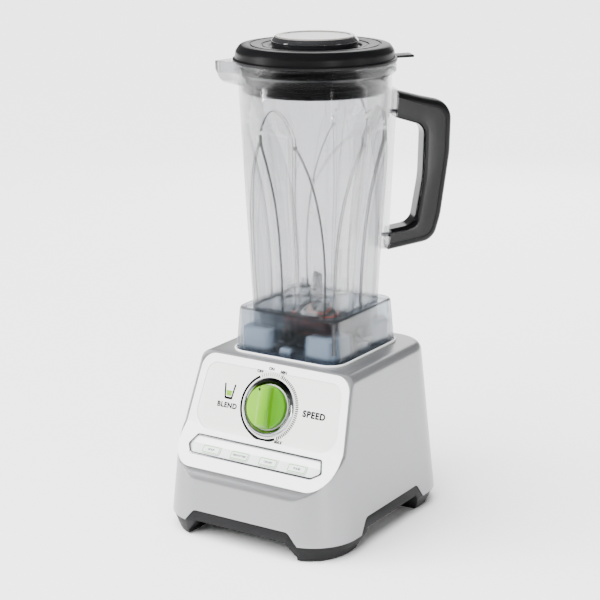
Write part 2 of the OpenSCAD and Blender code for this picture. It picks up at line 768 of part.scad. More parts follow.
module bearing_bell() {
    color(steel) at_jar() difference() {
        union() {
            translate([0, 0, floor_z + 2.4]) cylinder(r = 21.5, h = 1.2);
            translate([0, 0, floor_z + 3.5]) cylinder(r1 = 20.8, r2 = 18.6, h = 3.5);
            translate([0, 0, floor_z + 7]) cylinder(r1 = 18.6, r2 = 13.4, h = 6);
            translate([0, 0, floor_z + 13]) cylinder(r1 = 13.4, r2 = 8, h = 3);
        }
        translate([0, 0, floor_z]) cylinder(r = hub_r + 0.1, h = 6.1);
        translate([0, 0, floor_z]) cylinder(r = blade_shaft_r + 0.06, h = 30);
    }
}
module blade_shaft() {
    color(steel) at_jar() translate([0, 0, 190]) cylinder(r = blade_shaft_r, h = 49);
}
module drive_coupling() {
    color(steel) at_jar() difference() {
        union() {
            translate([0, 0, 186]) cylinder(r = hex_r - 0.7, h = 11.2, $fn = 6);
            translate([0, 0, 196.2]) cylinder(r = 9.5, h = 2.2);
        }
        translate([0, 0, 189.9]) cylinder(r = blade_shaft_r, h = 20);
    }
}
blade_z = 230;
module blade_spacer() {
    color(steel) at_jar() ring(6.2, blade_shaft_r, floor_z + 16.4, blade_z);
}
// One wing: starts at the hub, runs out along +X and is bent by tilt
module wing(reach, w, tilt, t) {
    translate([7, 0, 0]) rotate([0, -tilt, 0]) linear_extrude(t) polygon([[-0.4, -w / 2], [0, -w / 2],
        [reach, -w * 0.2], [reach + 4, w * 0.5], [reach * 0.4, w * 0.55], [-0.4, w / 2]]);
}
module blade(z, reach, tilt_a, tilt_b, turn) {
    at_jar() rotate([0, 0, turn]) translate([0, 0, z]) difference() {
        union() {
            cylinder(r = 8.2, h = 1.8);
            wing(reach, 13, tilt_a, 1.8);
            rotate([0, 0, 180]) wing(reach, 13, tilt_b, 1.8);
        }
        translate([0, 0, -20]) cylinder(r = blade_shaft_r, h = 40);
    }
}
module lower_blade() {
    color(steel) blade(blade_z, 27, 8, -6, 20);
}
module upper_blade() {
    color(steel) blade(blade_z + 2.2, 21, 48, 35, 110);
}
module blade_nut() {
    color(steel) at_jar() difference() {
        union() {
            translate([0, 0, blade_z + 4]) cylinder(r = 5.9, h = 1);
            translate([0, 0, blade_z + 4.9]) cylinder(r = 5.7, h = 4.6, $fn = 6);
            translate([0, 0, blade_z + 9.4]) cylinder(r1 = 5, r2 = 3, h = 1.6);
        }
        translate([0, 0, blade_z - 1]) cylinder(r = blade_shaft_r, h = 10);
    }
}

// ---- lid ----
dome = rounded([[lid_r, rim_z], [lid_r, 477.4], [80.2, 477.6], [79.6, crest_z], [48, crest_z - 2.2],
    [44.6, 487.6], [cap_bore_r, 487.6], [cap_bore_r, rim_z]], [0, 0.6, 0, 10, 0, 0, 0, 0], 6);
module lid() {
    color(black) {
        at_jar() difference() {
            rotate_extrude() polygon(concat([[cap_bore_r, 446]], [[cap_bore_r + 2.6, 446]],
                [[cap_bore_r + 2.6, rim_z]], [[68.6, rim_z]], [[68.6, 446]], [[71.4, 446]],
                [[71.4, rim_z]], [for (p = dome) p]));
            translate([0, 0, crest_z - 2.2]) ring(66, 63.4, 0, 10);
        }
        difference() {
            in_handle_plane(20) polygon(rounded([[79, rim_z + 0.3], [100.5, rim_z + 0.9],
                [100.5, rim_z + 3], [79, rim_z + 3]], [0, 0.8, 0.8, 0], 3));
            at_jar() translate([0, 0, 400]) cylinder(r = lid_r - 0.5, h = 100);
        }
    }
}
module lid_seal() {
    color(black) at_jar() rotate_extrude() polygon(concat([[71.45, 444.6]],
        [for (i = [0 : 3]) for (p = [[72.1, 0.4], [73.4, 1.6], [73.4, 2.6], [72.1, 3.8]])
            [p[0] + i * 0.28, 445 + i * 6.4 + p[1]]],
        [[73.2, 472], [71.45, 472]]));
}
module measuring_cap() {
    color(clear) at_jar() rotate_extrude() polygon([
        [0, top_z - 2.8], [31, top_z - 2.8], [33, top_z - 5], [33, 452], [cap_bore_r - 0.4, 452],
        [cap_bore_r - 0.4, 488.2], [43.4, 488.4], [43.8, top_z - 4.8], [39.5, top_z],
        [36, top_z], [34.5, top_z - 0.8], [0, top_z - 0.8]]);
}

housing();
front_bezel();
control_panel();
strip_trim();
button_strip();
dial_ring();
jar_seat();
seat_rim();
base_tray();
rubber_feet();
base_screws();
cord_gland();
motor_stator();
field_coils();
upper_bracket();
lower_bracket();
motor_bearings();
motor_bolts();
motor_mounts();
brush_holders();
speed_switch();
button_board();
control_board();
motor_shaft();
armature();
commutator();
cooling_fan();
drive_socket();
speed_knob();
knob_pointer();
knob_shaft();
button_1();
button_2();
button_3();
button_4();
jar();
jar_collar();
handle_bracket();
handle_core();
handle_shell();
handle_screws();
bearing_housing();
jar_bearings();
blade_gasket();
bearing_bell();
blade_shaft();
drive_coupling();
blade_spacer();
lower_blade();
upper_blade();
blade_nut();
lid();
lid_seal();
measuring_cap();
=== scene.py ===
import bmesh
import bpy
import json
import math
from mathutils import Matrix, Vector, kdtree


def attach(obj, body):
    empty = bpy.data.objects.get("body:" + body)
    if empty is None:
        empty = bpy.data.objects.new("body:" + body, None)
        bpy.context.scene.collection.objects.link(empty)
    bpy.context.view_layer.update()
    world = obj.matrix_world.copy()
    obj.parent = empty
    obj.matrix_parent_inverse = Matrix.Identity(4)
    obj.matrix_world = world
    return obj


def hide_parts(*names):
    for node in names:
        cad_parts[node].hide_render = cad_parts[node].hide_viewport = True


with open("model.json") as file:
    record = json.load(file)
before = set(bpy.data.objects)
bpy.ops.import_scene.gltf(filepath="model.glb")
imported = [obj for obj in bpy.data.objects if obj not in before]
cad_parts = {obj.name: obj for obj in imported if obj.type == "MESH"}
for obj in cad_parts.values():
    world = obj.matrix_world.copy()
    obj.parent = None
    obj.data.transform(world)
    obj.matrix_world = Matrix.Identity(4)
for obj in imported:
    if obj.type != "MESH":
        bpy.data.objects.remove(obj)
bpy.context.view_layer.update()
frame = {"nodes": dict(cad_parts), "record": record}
nodes = frame["nodes"]
record = frame["record"]
slotOf = {entry["node"]: entry["material_slot"] for entry in record["subparts"]}
bodyOf = {node: body for body, members in record["behaviour"]["bodies"].items() for node in members}
mm = 0.001
turn = 2 * math.pi
jarY = 21.5  # the jar stands this far behind the middle of the base
panelAt = (-68.7, 134.5)  # y and z of the dial's centre on the leaning panel
panelLean = 20
shelfAt = (-94.5, 90)  # y and z of the button strip's middle


# shaders: a wire is a node's output, and maths on it adds Math nodes

class Wire:
    def __init__(self, paint, socket):
        self.paint, self.socket = paint, socket

    def maths(self, operation, first, second):
        return self.paint.add("ShaderNodeMath", {"operation": operation}, {0: first, 1: second})

    def __add__(self, other):
        return self.maths("ADD", self, other)

    def __radd__(self, other):
        return self.maths("ADD", other, self)

    def __sub__(self, other):
        return self.maths("SUBTRACT", self, other)

    def __rsub__(self, other):
        return self.maths("SUBTRACT", other, self)

    def __mul__(self, other):
        return self.maths("MULTIPLY", self, other)

    def __rmul__(self, other):
        return self.maths("MULTIPLY", other, self)

    def __gt__(self, other):
        return self.maths("GREATER_THAN", self, other)


class Paint:
    def __init__(self, name):
        self.material = bpy.data.materials.new(name)
        self.material.use_nodes = True
        self.tree = self.material.node_tree
        self.tree.nodes.clear()
        self.spot = None

    def add(self, kind, settings=None, sockets=None, output=0):
        node = self.tree.nodes.new(kind)
        for key, value in (settings or {}).items():
            setattr(node, key, value)
        for key, value in (sockets or {}).items():
            if isinstance(value, Wire):
                self.tree.links.new(value.socket, node.inputs[key])
            else:
                node.inputs[key].default_value = value
        return Wire(self, node.outputs[output])

    def place(self):
        if self.spot is None:
            self.spot = self.add("ShaderNodeTexCoord", None, None, "Object")
        return self.spot

    def noise(self, scale, detail=2, stretch=None):
        where = self.place()
        if stretch:
            where = self.add("ShaderNodeMapping", None, {"Vector": where, "Scale": stretch})
        return self.add("ShaderNodeTexNoise", None, {"Vector": where, "Scale": scale, "Detail": detail})

    def axis(self, letter):
        return self.add("ShaderNodeSeparateXYZ", None, {0: self.place()}, letter)

    def mix(self, factor, first, second):
        return self.add("ShaderNodeMix", {"data_type": "RGBA"}, {0: factor, 6: first, 7: second}, 2)

    def bump(self, height, strength, distance):
        sockets = {"Height": height, "Strength": strength, "Distance": distance}
        return self.add("ShaderNodeBump", None, sockets)

    def ramp(self, value, low, high):  # 0 to 1 as the value goes from low to high
        sockets = {0: value, 1: low, 2: high, 3: 0.0, 4: 1.0}
        return self.add("ShaderNodeMapRange", None, sockets)

    def finish(self, colour, rough, metal=0.0, normal=None, more=None):
        sockets = dict(more or {})
        sockets.update({"Base Color": colour, "Roughness": rough, "Metallic": metal})
        if normal is not None:
            sockets["Normal"] = normal
        shader = self.add("ShaderNodeBsdfPrincipled", None, sockets)
        out = self.tree.nodes.new("ShaderNodeOutputMaterial")
        self.tree.links.new(shader.socket, out.inputs[0])
        return self.material


def tone(red, green, blue):  # screen values 0 to 255 to a linear colour
    def straight(value):
        value = value / 255
        return value / 12.92 if value <= 0.04045 else ((value + 0.055) / 1.055) ** 2.4
    return (straight(red), straight(green), straight(blue), 1)


def plastic(name, colour, shade, rough, grain, depth, coat=0.0, scale=900, shine=0.5):
    paint = Paint(name)
    cloud = paint.noise(14, 3)
    fine = paint.noise(scale, 2)
    return paint.finish(colour=paint.mix(cloud * 0.8 + fine * 0.2, colour, shade),
                        rough=rough + (cloud - 0.5) * 0.12 + (fine - 0.5) * grain,
                        normal=paint.bump(fine, depth, 0.0002),
                        more={"Coat Weight": coat, "Coat Roughness": 0.12, "Specular IOR Level": shine})


def metal(name, colour, shade, rough, stretch, depth=0.05):
    paint = Paint(name)
    hair = paint.noise(260, 3, stretch)
    smudge = paint.noise(30, 2)
    return paint.finish(colour=paint.mix(hair, colour, shade), metal=1.0,
                        rough=rough + (hair - 0.5) * 0.14 + (smudge - 0.5) * 0.08,
                        normal=paint.bump(hair, depth, 0.0001))


def clearPlastic(name, colour, shade, rough, alpha, ior=1.46, glint=0.3):
    paint = Paint(name)
    haze = paint.noise(9, 2)
    scuff = paint.noise(70, 4)
    return paint.finish(colour=paint.mix(haze, colour, shade), rough=rough + scuff * 0.01,
                        more={"Transmission Weight": 1.0, "IOR": ior, "Alpha": alpha,
                              "Specular Tint": (glint, glint, glint, 1)})


def silverPaint():
    paint = Paint("silverPaint")
    flake = paint.noise(2600, 1)
    cloud = paint.noise(11, 2)
    speck = paint.add("ShaderNodeTexVoronoi", None, {"Vector": paint.place(), "Scale": 1500.0})
    return paint.finish(colour=paint.mix(flake, tone(136, 137, 139), tone(151, 151, 153)),
                        metal=0.68 + speck * 0.15,
                        rough=0.3 + (cloud - 0.5) * 0.06 + flake * 0.05,
                        normal=paint.bump(flake, 0.06, 0.00008),
                        more={"Coat Weight": 0.1, "Coat Roughness": 0.25})


def stripWhite():
    paint = Paint("stripWhite")
    slope = (paint.axis("Y") + paint.axis("Z")) * 0.7071  # along the shelf, upwards
    upper = slope > sum(shelfAt) * mm * 0.7071 + 0.0016
    cloud = paint.noise(60, 2)
    return paint.finish(colour=paint.mix(upper, tone(214, 217, 216), tone(250, 250, 250)),
                        rough=0.2 + cloud * 0.1, normal=paint.bump(cloud, 0.03, 0.0002),
                        more={"Coat Weight": 0.5})


def knobGreen():
    paint = Paint("knobGreen")
    # painted shade: the knob is painted darker towards its right side, which turns away from the light
    paintedShade = paint.ramp(paint.axis("X"), -0.006, 0.012)
    cloud = paint.noise(40, 2)
    fine = paint.noise(1200, 1)
    return paint.finish(colour=paint.mix(paintedShade * 0.75 + cloud * 0.15, tone(104, 160, 0), tone(44, 106, 0)),
                        rough=0.24 + cloud * 0.12, normal=paint.bump(fine, 0.05, 0.0001),
                        more={"Coat Weight": 0.2, "Coat Roughness": 0.08, "Specular IOR Level": 0.3})


def smokeCap():
    paint = Paint("smokeCap")
    top = paint.axis("Z") > 0.4988
    haze = paint.noise(30, 2)
    return paint.finish(colour=paint.mix(top, tone(34, 34, 36), tone(132, 128, 124)),
                        rough=0.05 + top * 0.2 + haze * 0.03, normal=paint.bump(haze, 0.03, 0.0004),
                        more={"Transmission Weight": 0.35, "IOR": 1.5, "Alpha": 0.96,
                              "Coat Weight": 0.6})


def seatGrey():  # pale posts on a darker deck
    paint = Paint("seatGrey")
    post = paint.ramp(paint.axis("Z"), 0.182, 0.186)
    cloud = paint.noise(20, 2)
    fine = paint.noise(900, 2)
    pale = paint.mix(cloud, tone(172, 181, 191), tone(158, 167, 177))
    return paint.finish(colour=paint.mix(post, tone(70, 78, 88), pale),
                        rough=0.32 + (cloud - 0.5) * 0.1, normal=paint.bump(fine, 0.05, 0.0002))


def mirrorTrim():
    paint = Paint("mirrorTrim")
    # painted shade: the chrome is painted dark above about 150 mm, on the upper part of the dial ring
    high = paint.ramp(paint.axis("Z"), 0.146, 0.154)
    smudge = paint.noise(60, 2)
    bright = paint.mix(smudge, tone(186, 187, 190), tone(158, 159, 162))
    return paint.finish(colour=paint.mix(high, bright, tone(40, 40, 42)), metal=1.0,
                        rough=0.08 + smudge * 0.05, normal=paint.bump(smudge, 0.03, 0.0002))


def shadedEdge():  # painted shade: the dark line that a crease in thick clear plastic shows by refraction, laid on as a dark material
    paint = Paint("shadedEdge")
    cloud = paint.noise(50, 2)
    return paint.finish(colour=paint.mix(cloud, tone(16, 18, 20), tone(30, 32, 35)),
                        rough=0.12 + cloud * 0.1,
                        more={"Alpha": 0.72 + cloud * 0.2, "Specular IOR Level": 0.3})


finishes = {
    "silver_plastic": silverPaint(),
    "white_plastic": plastic("bezelWhite", tone(243, 243, 243), tone(235, 236, 236), 0.27, 0.04, 0.03, 0.3),
    "panel_grey": plastic("panelGrey", tone(222, 222, 219), tone(214, 214, 211), 0.5, 0.1, 0.1),
    "bright_trim": mirrorTrim(),
    "strip_white": stripWhite(),
    "seat_plastic": seatGrey(),
    "rim_white": plastic("rimWhite", tone(242, 242, 242), tone(230, 230, 231), 0.3, 0.04, 0.03),
    "dark_plastic": plastic("trayBlack", tone(24, 24, 25), tone(18, 18, 19), 0.5, 0.16, 0.35,
                            scale=1400, shine=0.15),
    "foot_rubber": plastic("footRubber", tone(38, 38, 38), tone(30, 30, 30), 0.8, 0.1, 0.3),
    "screw_steel": metal("screwSteel", tone(180, 180, 182), tone(150, 150, 152), 0.3, (1, 1, 8)),
    "stator_steel": metal("statorSteel", tone(96, 96, 100), tone(70, 70, 74), 0.5, (1, 1, 30), 0.4),
    "winding_copper": metal("windingCopper", tone(200, 120, 70), tone(150, 82, 42), 0.35, (1, 1, 14), 0.5),
    "bracket_alloy": metal("bracketAlloy", tone(188, 190, 192), tone(160, 162, 165), 0.48, (1, 1, 1), 0.3),
    "bearing_steel": metal("bearingSteel", tone(190, 192, 195), tone(160, 162, 166), 0.25, (1, 1, 20)),
    "holder_plastic": plastic("holderBlack", tone(60, 60, 62), tone(48, 48, 50), 0.5, 0.1, 0.2),
    "board_green": plastic("boardGreen", tone(40, 120, 70), tone(28, 96, 54), 0.4, 0.05, 0.1),
    "drive_black": plastic("driveBlack", tone(10, 10, 11), tone(7, 7, 8), 0.42, 0.08, 0.15, shine=0.12),
    "knob_green": knobGreen(),
    "pointer_black": plastic("pointerBlack", tone(10, 10, 10), tone(7, 7, 7), 0.3, 0.05, 0.05,
                             shine=0.3),
    "clear_jar": clearPlastic("jarClear", tone(156, 157, 161), tone(146, 148, 152), 0.0, 0.5, 1.38, 0.15),
    "handle_gloss": plastic("handleGloss", tone(7, 7, 8), tone(4, 4, 5), 0.22, 0.04, 0.03, 0.05,
                            shine=0.2),
    "handle_satin": plastic("handleSatin", tone(9, 9, 10), tone(6, 6, 7), 0.4, 0.1, 0.2,
                            scale=1500, shine=0.18),
    "gasket_red": plastic("gasketRed", tone(206, 74, 40), tone(186, 58, 30), 0.5, 0.05, 0.1),
    "blade_steel": metal("bladeSteel", tone(214, 214, 212), tone(184, 184, 182), 0.16, (1, 12, 1), 0.12),
    "lid_black": plastic("lidBlack", tone(8, 8, 9), tone(5, 5, 6), 0.36, 0.1, 0.18,
                         scale=1300, shine=0.18),
    "seal_black": plastic("sealBlack", tone(5, 5, 5), tone(3, 3, 3), 0.5, 0.08, 0.15, shine=0.1),
    "clear_cap": smokeCap(),
}
paintedCreaseShade = shadedEdge()
collarClear = clearPlastic("collarClear", tone(120, 136, 152), tone(108, 124, 141), 0.0, 0.5, 1.38, 0.2)
printBlack = plastic("printBlack", tone(6, 6, 7), tone(4, 4, 5), 0.6, 0.05, 0.02, shine=0.1)
printGrey = plastic("printGrey", tone(60, 66, 62), tone(50, 55, 52), 0.6, 0.05, 0.02, shine=0.1)
printGreen = plastic("printGreen", tone(84, 170, 44), tone(74, 158, 36), 0.5, 0.05, 0.02, shine=0.1)
for node, thing in nodes.items():
    if not thing.material_slots:
        thing.data.materials.append(finishes[slotOf[node]])
    for slot in thing.material_slots:
        slot.material = finishes[slotOf[node]]
print("finishes are on", len(nodes), "nodes")


# outlines, in millimetres

def roundPath(points, radii, steps=6):
    path = []
    for i, corner in enumerate(points):
        here = Vector(corner)
        if radii[i] <= 0:
            path.append((here.x, here.y))
            continue
        back = (Vector(points[i - 1]) - here).normalized()
        ahead = (Vector(points[(i + 1) % len(points)]) - here).normalized()
        half = math.acos(max(-1, min(1, back.dot(ahead)))) / 2
        run, reach = radii[i] / math.tan(half), radii[i] / math.sin(half)
        middle = here + (back + ahead).normalized() * reach
        first, last = here + back * run - middle, here + ahead * run - middle
        start = math.atan2(first.y, first.x)
        swing = math.atan2(first.x * last.y - first.y * last.x, first.dot(last))
        for k in range(steps + 1):
            angle = start + swing * k / steps
            path.append((middle.x + radii[i] * math.cos(angle), middle.y + radii[i] * math.sin(angle)))
    return path


def oblong(half, tall, radius, steps):
    corners = [(-half, -tall), (half, -tall), (half, tall), (-half, tall)]
    return roundPath(corners, [radius] * 4, steps)


def squareRing(half, radius, z):
    return [(x, y + jarY, z) for x, y in oblong(half, half, radius, 12)]


def blend(a, b, t):
    return a + (b - a) * t


def resample(path, count):  # evenly spaced points along a flat path, ends kept
    lengths = [0.0]
    for a, b in zip(path, path[1:]):
        lengths.append(lengths[-1] + math.dist(a, b))
    out, k = [], 0
    for i in range(count + 1):
        want = lengths[-1] * i / count
        while k < len(path) - 2 and lengths[k + 1] < want:
            k += 1
        t = (want - lengths[k]) / max(1e-9, lengths[k + 1] - lengths[k])
        out.append((blend(path[k][0], path[k + 1][0], t), blend(path[k][1], path[k + 1][1], t)))
    return out


# modelling steps

def letGo():
    if bpy.context.mode != "OBJECT":
        bpy.ops.object.mode_set(mode="OBJECT")
    bpy.ops.object.select_all(action="DESELECT")


def pick(piece):
    letGo()
    piece.select_set(True)
    bpy.context.view_layer.objects.active = piece


def edit(piece):
    pick(piece)
    bpy.ops.object.mode_set(mode="EDIT")
    bpy.ops.mesh.select_mode(type="VERT")
    bpy.ops.mesh.select_all(action="SELECT")


def shown(name, data):
    thing = bpy.data.objects.new(name, data)
    bpy.context.scene.collection.objects.link(thing)
    return thing


def named(name):
    piece = bpy.context.object
    piece.name = piece.data.name = name
    return piece


def loopPiece(name, points):  # a circle whose corners are moved onto an outline
    letGo()
    bpy.ops.mesh.primitive_circle_add(vertices=len(points), radius=0.05, location=(0, 0, 0))
    piece = named(name)
    for vertex, point in zip(piece.data.vertices, points):
        vertex.co = Vector(point) * mm
    return piece


def shiftOnto(piece, before, after):  # selected corners go from the old outline to the new one
    tree = kdtree.KDTree(len(before))
    for i, point in enumerate(before):
        tree.insert(Vector(point) * mm, i)
    tree.balance()
    mesh = bmesh.from_edit_mesh(piece.data)
    for vertex in mesh.verts:
        if vertex.select:
            vertex.co = Vector(after[tree.find(vertex.co)[1]]) * mm
    bmesh.update_edit_mesh(piece.data)


def tidyMesh(piece):
    edit(piece)
    bpy.ops.mesh.remove_doubles(threshold=0.000002)
    bpy.ops.mesh.normals_make_consistent(inside=False)
    bpy.ops.object.mode_set(mode="OBJECT")


def stack(name, rings, tube=False):  # one outline extruded through all the others
    piece = loopPiece(name, rings[0])
    edit(piece)
    if not tube:
        bpy.ops.mesh.edge_face_add()
    for before, after in zip(rings, rings[1:]):
        bpy.ops.mesh.extrude_region_move()
        shiftOnto(piece, before, after)
    tidyMesh(piece)
    return piece


def turned(name, profile, place=None, steps=144):  # [radius, height] spun, about the jar's axis unless placed
    piece = loopPiece(name, [(r, 0, z) for r, z in profile])
    edit(piece)
    mesh = bmesh.from_edit_mesh(piece.data)
    onAxis = [e for e in mesh.edges if all(abs(v.co.x) < 1e-7 for v in e.verts)]
    bmesh.ops.delete(mesh, geom=onAxis, context="EDGES")
    bmesh.update_edit_mesh(piece.data)
    bpy.ops.mesh.select_all(action="SELECT")
    bpy.ops.mesh.spin(steps=steps, angle=turn, center=(0, 0, 0), axis=(0, 0, 1))
    tidyMesh(piece)
    piece.data.transform(place or move(0, jarY, 0))
    return piece


def block(name, low, high, edge=0.0):
    letGo()
    bpy.ops.mesh.primitive_cube_add(size=1, location=(0, 0, 0))
    piece = named(name)
    for vertex in piece.data.vertices:
        vertex.co = Vector([blend(a, b, c + 0.5) for a, b, c in zip(low, high, vertex.co)]) * mm
    if edge:
        bevel(piece, edge)
    return piece


def rod(name, radius, low, high, vertices=64):
    letGo()
    bpy.ops.mesh.primitive_cylinder_add(vertices=vertices, radius=radius * mm, depth=(high - low) * mm,
                                        location=(0, 0, 0))
    piece = named(name)
    piece.data.transform(move(0, 0, (low + high) / 2))
    return piece


def bevel(piece, width, segments=2, angle=40):
    pick(piece)
    step = piece.modifiers.new("edges", "BEVEL")
    step.width, step.segments, step.limit_method = width * mm, segments, "ANGLE"
    step.angle_limit = math.radians(angle)
    step.harden_normals = False
    bpy.ops.object.modifier_apply(modifier="edges")


def join(pieces, name):
    letGo()
    for piece in pieces:
        piece.select_set(True)
    bpy.context.view_layer.objects.active = pieces[0]
    bpy.ops.object.join()
    return named(name)


def cut(piece, cutter, operation="DIFFERENCE"):
    pick(piece)
    step = piece.modifiers.new("cut", "BOOLEAN")
    step.operation, step.object, step.solver = operation, cutter, "EXACT"
    bpy.ops.object.modifier_apply(modifier="cut")
    bpy.data.objects.remove(cutter)


def smooth(piece, angle=32):
    pick(piece)
    bpy.ops.object.shade_smooth_by_angle(angle=math.radians(angle))


def belong(piece, body, finish):
    piece.data.materials.clear()
    piece.data.materials.append(finish)
    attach(piece, body)
    return piece


def hand(piece, body, slot, *stood, finish=None, angle=32):  # finish, body and the node it stands for
    smooth(piece, angle)
    belong(piece, body, finish or finishes[slot])
    if stood:
        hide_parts(*stood)
    return piece


def skin(node, name, edge=0.0, angle=32, finish=None, segments=2):  # a smooth copy with softened edges
    piece = shown(name, nodes[node].data.copy())
    piece.data.name = name
    edit(piece)
    bpy.ops.mesh.customdata_custom_splitnormals_clear()
    bpy.ops.mesh.remove_doubles(threshold=0.000002)
    if edge:
        bpy.ops.mesh.dissolve_limited(angle_limit=math.radians(1))
    bpy.ops.object.mode_set(mode="OBJECT")
    if edge:
        bevel(piece, edge, segments)
    return hand(piece, bodyOf[node], slotOf[node], node, finish=finish, angle=angle)


def move(x, y, z):
    return Matrix.Translation((x * mm, y * mm, z * mm))


def rotate(degrees, axis="Z"):
    return Matrix.Rotation(math.radians(degrees), 4, axis)


def atPanel():  # +Z of this place stands out of the panel at the dial's centre
    return move(0, *panelAt) @ rotate(90 - panelLean, "X")


def atShelf():
    return move(0, *shelfAt) @ rotate(45, "X")


# front of the base: a leaning panel, a shelf at 45 degrees and a nearly upright wall

base = {"halfWidth": 107, "halfDepth": 124, "edgeZ": 17, "shoulderZ": 168, "draft": 5.6, "shoulder": 10,
        "cornerLow": 50, "cornerHigh": 36, "wall": 3, "frontWall": 6, "lip": 2.2, "edge": 0.7,
        "plateIn": 3.4, "frontRound": 14}


def wallIn(z):
    return (z - base["edgeZ"]) * math.tan(math.radians(base["draft"]))


def leaning(degrees):
    return Vector((math.sin(math.radians(degrees)), math.cos(math.radians(degrees))))


def frontLine(inward=0.0):  # [y, z] from the deck down
    panelUp, wallUp = leaning(panelLean), leaning(base["draft"])
    shelfUp = Vector((math.sqrt(0.5), math.sqrt(0.5)))

    def shifted(point, way):
        return Vector(point) - inward * Vector((-way.y, way.x))

    def cross(p, u, q, v):
        t = ((q.x - p.x) * v.y - (q.y - p.y) * v.x) / (u.x * v.y - u.y * v.x)
        return p + u * t

    top, middle = shifted(panelAt, panelUp), shifted(shelfAt, shelfUp)
    low = shifted((-base["halfDepth"], base["edgeZ"]), wallUp)
    bend, knee = cross(top, panelUp, middle, shelfUp), cross(middle, shelfUp, low, wallUp)
    radii = [0, base["frontRound"] + inward, base["frontRound"] - inward, 0]
    return roundPath([top + panelUp * 70, bend, knee, low - wallUp * 40], radii, 14)


def onLine(line, z):  # y at height z, and the outward direction there
    for (y1, z1), (y2, z2) in zip(line, line[1:]):
        if z2 <= z <= z1:
            t = (z1 - z) / (z1 - z2)
            way = Vector((y1 - y2, z1 - z2)).normalized()
            return blend(y1, y2, t), -way.y, way.x
    raise ValueError(z)


frontOutside = frontLine()


def frontPoint(x, z, height):
    y, outY, outZ = onLine(frontOutside, z)
    below, above = onLine(frontOutside, z - 0.6), onLine(frontOutside, z + 0.6)
    outY, outZ = (outY + below[1] + above[1]) / 3, (outZ + below[2] + above[2]) / 3
    return (x, y + height * outY, z + height * outZ)


def section(z, inward, line, shrink=0.0):  # the housing's outline at one height
    top, low = base["shoulderZ"], base["edgeZ"]
    wall = wallIn(min(z, top))
    halfX = base["halfWidth"] - wall - inward - shrink
    backY = base["halfDepth"] - wall - inward - shrink
    wallY = -base["halfDepth"] + wall + inward
    corner = blend(base["cornerLow"], base["cornerHigh"], (min(z, top) - low) / (top - low))
    radius = corner - inward - shrink * 0.8
    frontY = max(wallY, onLine(line, z)[0])
    full = [(0, wallY), (halfX, wallY), (halfX, backY), (0, backY)]
    path = roundPath(full, [0, radius, radius, 0], 20)
    rest = [path[0]]
    for a, b in zip(path, path[1:]):  # keep only what lies behind the front face
        if b[1] <= frontY + 0.002 and b[0] <= halfX - 0.001 and b[1] < 0:
            rest = [b]
            continue
        if a[1] < frontY <= b[1]:
            t = (frontY - a[1]) / (b[1] - a[1])
            rest = [(blend(a[0], b[0], t), frontY)]
        rest.append(b)
    corner = Vector((rest[0][0], frontY))
    lip = base["lip"]  # the front's side corners are rounded over this length
    whole = [tuple(corner)] + rest[1:]
    lengths = 0.0
    for i, (a, b) in enumerate(zip(whole, whole[1:])):
        step = math.dist(a, b)
        if lengths + step >= lip:
            t = (lip - lengths) / step
            far = (blend(a[0], b[0], t), blend(a[1], b[1], t))
            tail = [far] + whole[i + 1:]
            break
        lengths += step
    near = (corner.x - lip, frontY)
    flat = [(blend(0, near[0], i / 12), frontY) for i in range(13)]
    soft = []
    for i in range(1, 6):
        t = i / 6
        point = Vector(near) * (1 - t) ** 2 + corner * 2 * t * (1 - t) + Vector(far) * t ** 2
        soft.append((point.x, point.y))
    right = flat + soft + resample(tail, 64)
    left = [(-x, y) for x, y in reversed(right[1:-1])]
    return [(x, y, z) for x, y in right + left]


bendRows = [99 + i * 0.8 for i in range(14)]  # close together where the panel bends into the shelf


def baseShell():
    heights = [17, 21, 26, 32, 40, 50, 58] + [60 + i * 0.8 for i in range(12)] + [73, 80, 88, 94]
    heights += bendRows + [116, 122, 130, 140, 150, 160, base["shoulderZ"]]
    rings = [section(z, 0, frontOutside) for z in heights]
    shoulder = base["shoulder"]
    for i in range(1, 9):
        angle = math.pi / 2 * i / 8
        z = base["shoulderZ"] + shoulder * math.sin(angle)
        rings.append(section(min(z, 177.99), 0, frontOutside, shoulder * (1 - math.cos(angle))))
    outer = stack("baseHousing", rings)
    inside, wall = frontLine(base["frontWall"]), base["wall"]
    heights = (17.5, 30, 50, 58, 62, 66, 80, 92, 98, 104, 110, 130, 150, base["shoulderZ"])
    rings = [section(z, wall, inside) for z in heights] + [section(174.9, wall, inside, 7)]
    cut(outer, stack("hollow", rings))
    cut(outer, frontPlate("recess", bezelShape(0), -3.0, 6.0))
    for flip in (False, True):
        half, top = (52, 32.5) if flip else (57, 30)
        foot = half + 12
        corners = [(-foot, -8), (-foot, 16), (-half, top), (half, top), (foot, 16), (foot, -8)]
        arch = roundPath(corners, [0, 5, 7, 7, 5, 0], 6)
        rows = [[(y, x, z) if flip else (x, y, z) for x, z in arch] for y in (-150, 150)]
        cut(outer, stack("arch", rows))
    for cutter in smallCuts():
        cut(outer, cutter)
    bevel(outer, base["edge"], 2, 50)
    return hand(outer, "base", "silver_plastic", "housing", angle=38)


def smallCuts():
    drive = rod("driveHole", 22, 100, 220, 96)
    drive.data.transform(move(0, jarY, 0))
    shaft = rod("shaftHole", 6, -20, 20, 48)
    shaft.data.transform(atPanel())
    slot = block("buttonSlot", (-68, -11.7, -30), (68, 2.3, 30))
    slot.data.transform(atShelf())
    gland = rod("glandHole", 8, -20, 20, 48)
    gland.data.transform(move(60, 124, 46) @ rotate(90, "X"))
    vents = [block("vent", (i * 13 - 3, 96, 70), (i * 13 + 3, 134, 104), 1.6) for i in range(-3, 4)]
    return [drive, shaft, slot, gland] + vents


def edgeX(z):
    return base["halfWidth"] - wallIn(z) - base["plateIn"]


def bezelShape(margin):  # low edge, top edge, margin and the radii of the corners there
    return 71.6 + margin, 176.4 - margin, margin, 26 - margin, 17 - margin


def panelShape(margin):
    return 94.5 + margin, 176.4 - margin, margin, 18, 17 - margin / 2


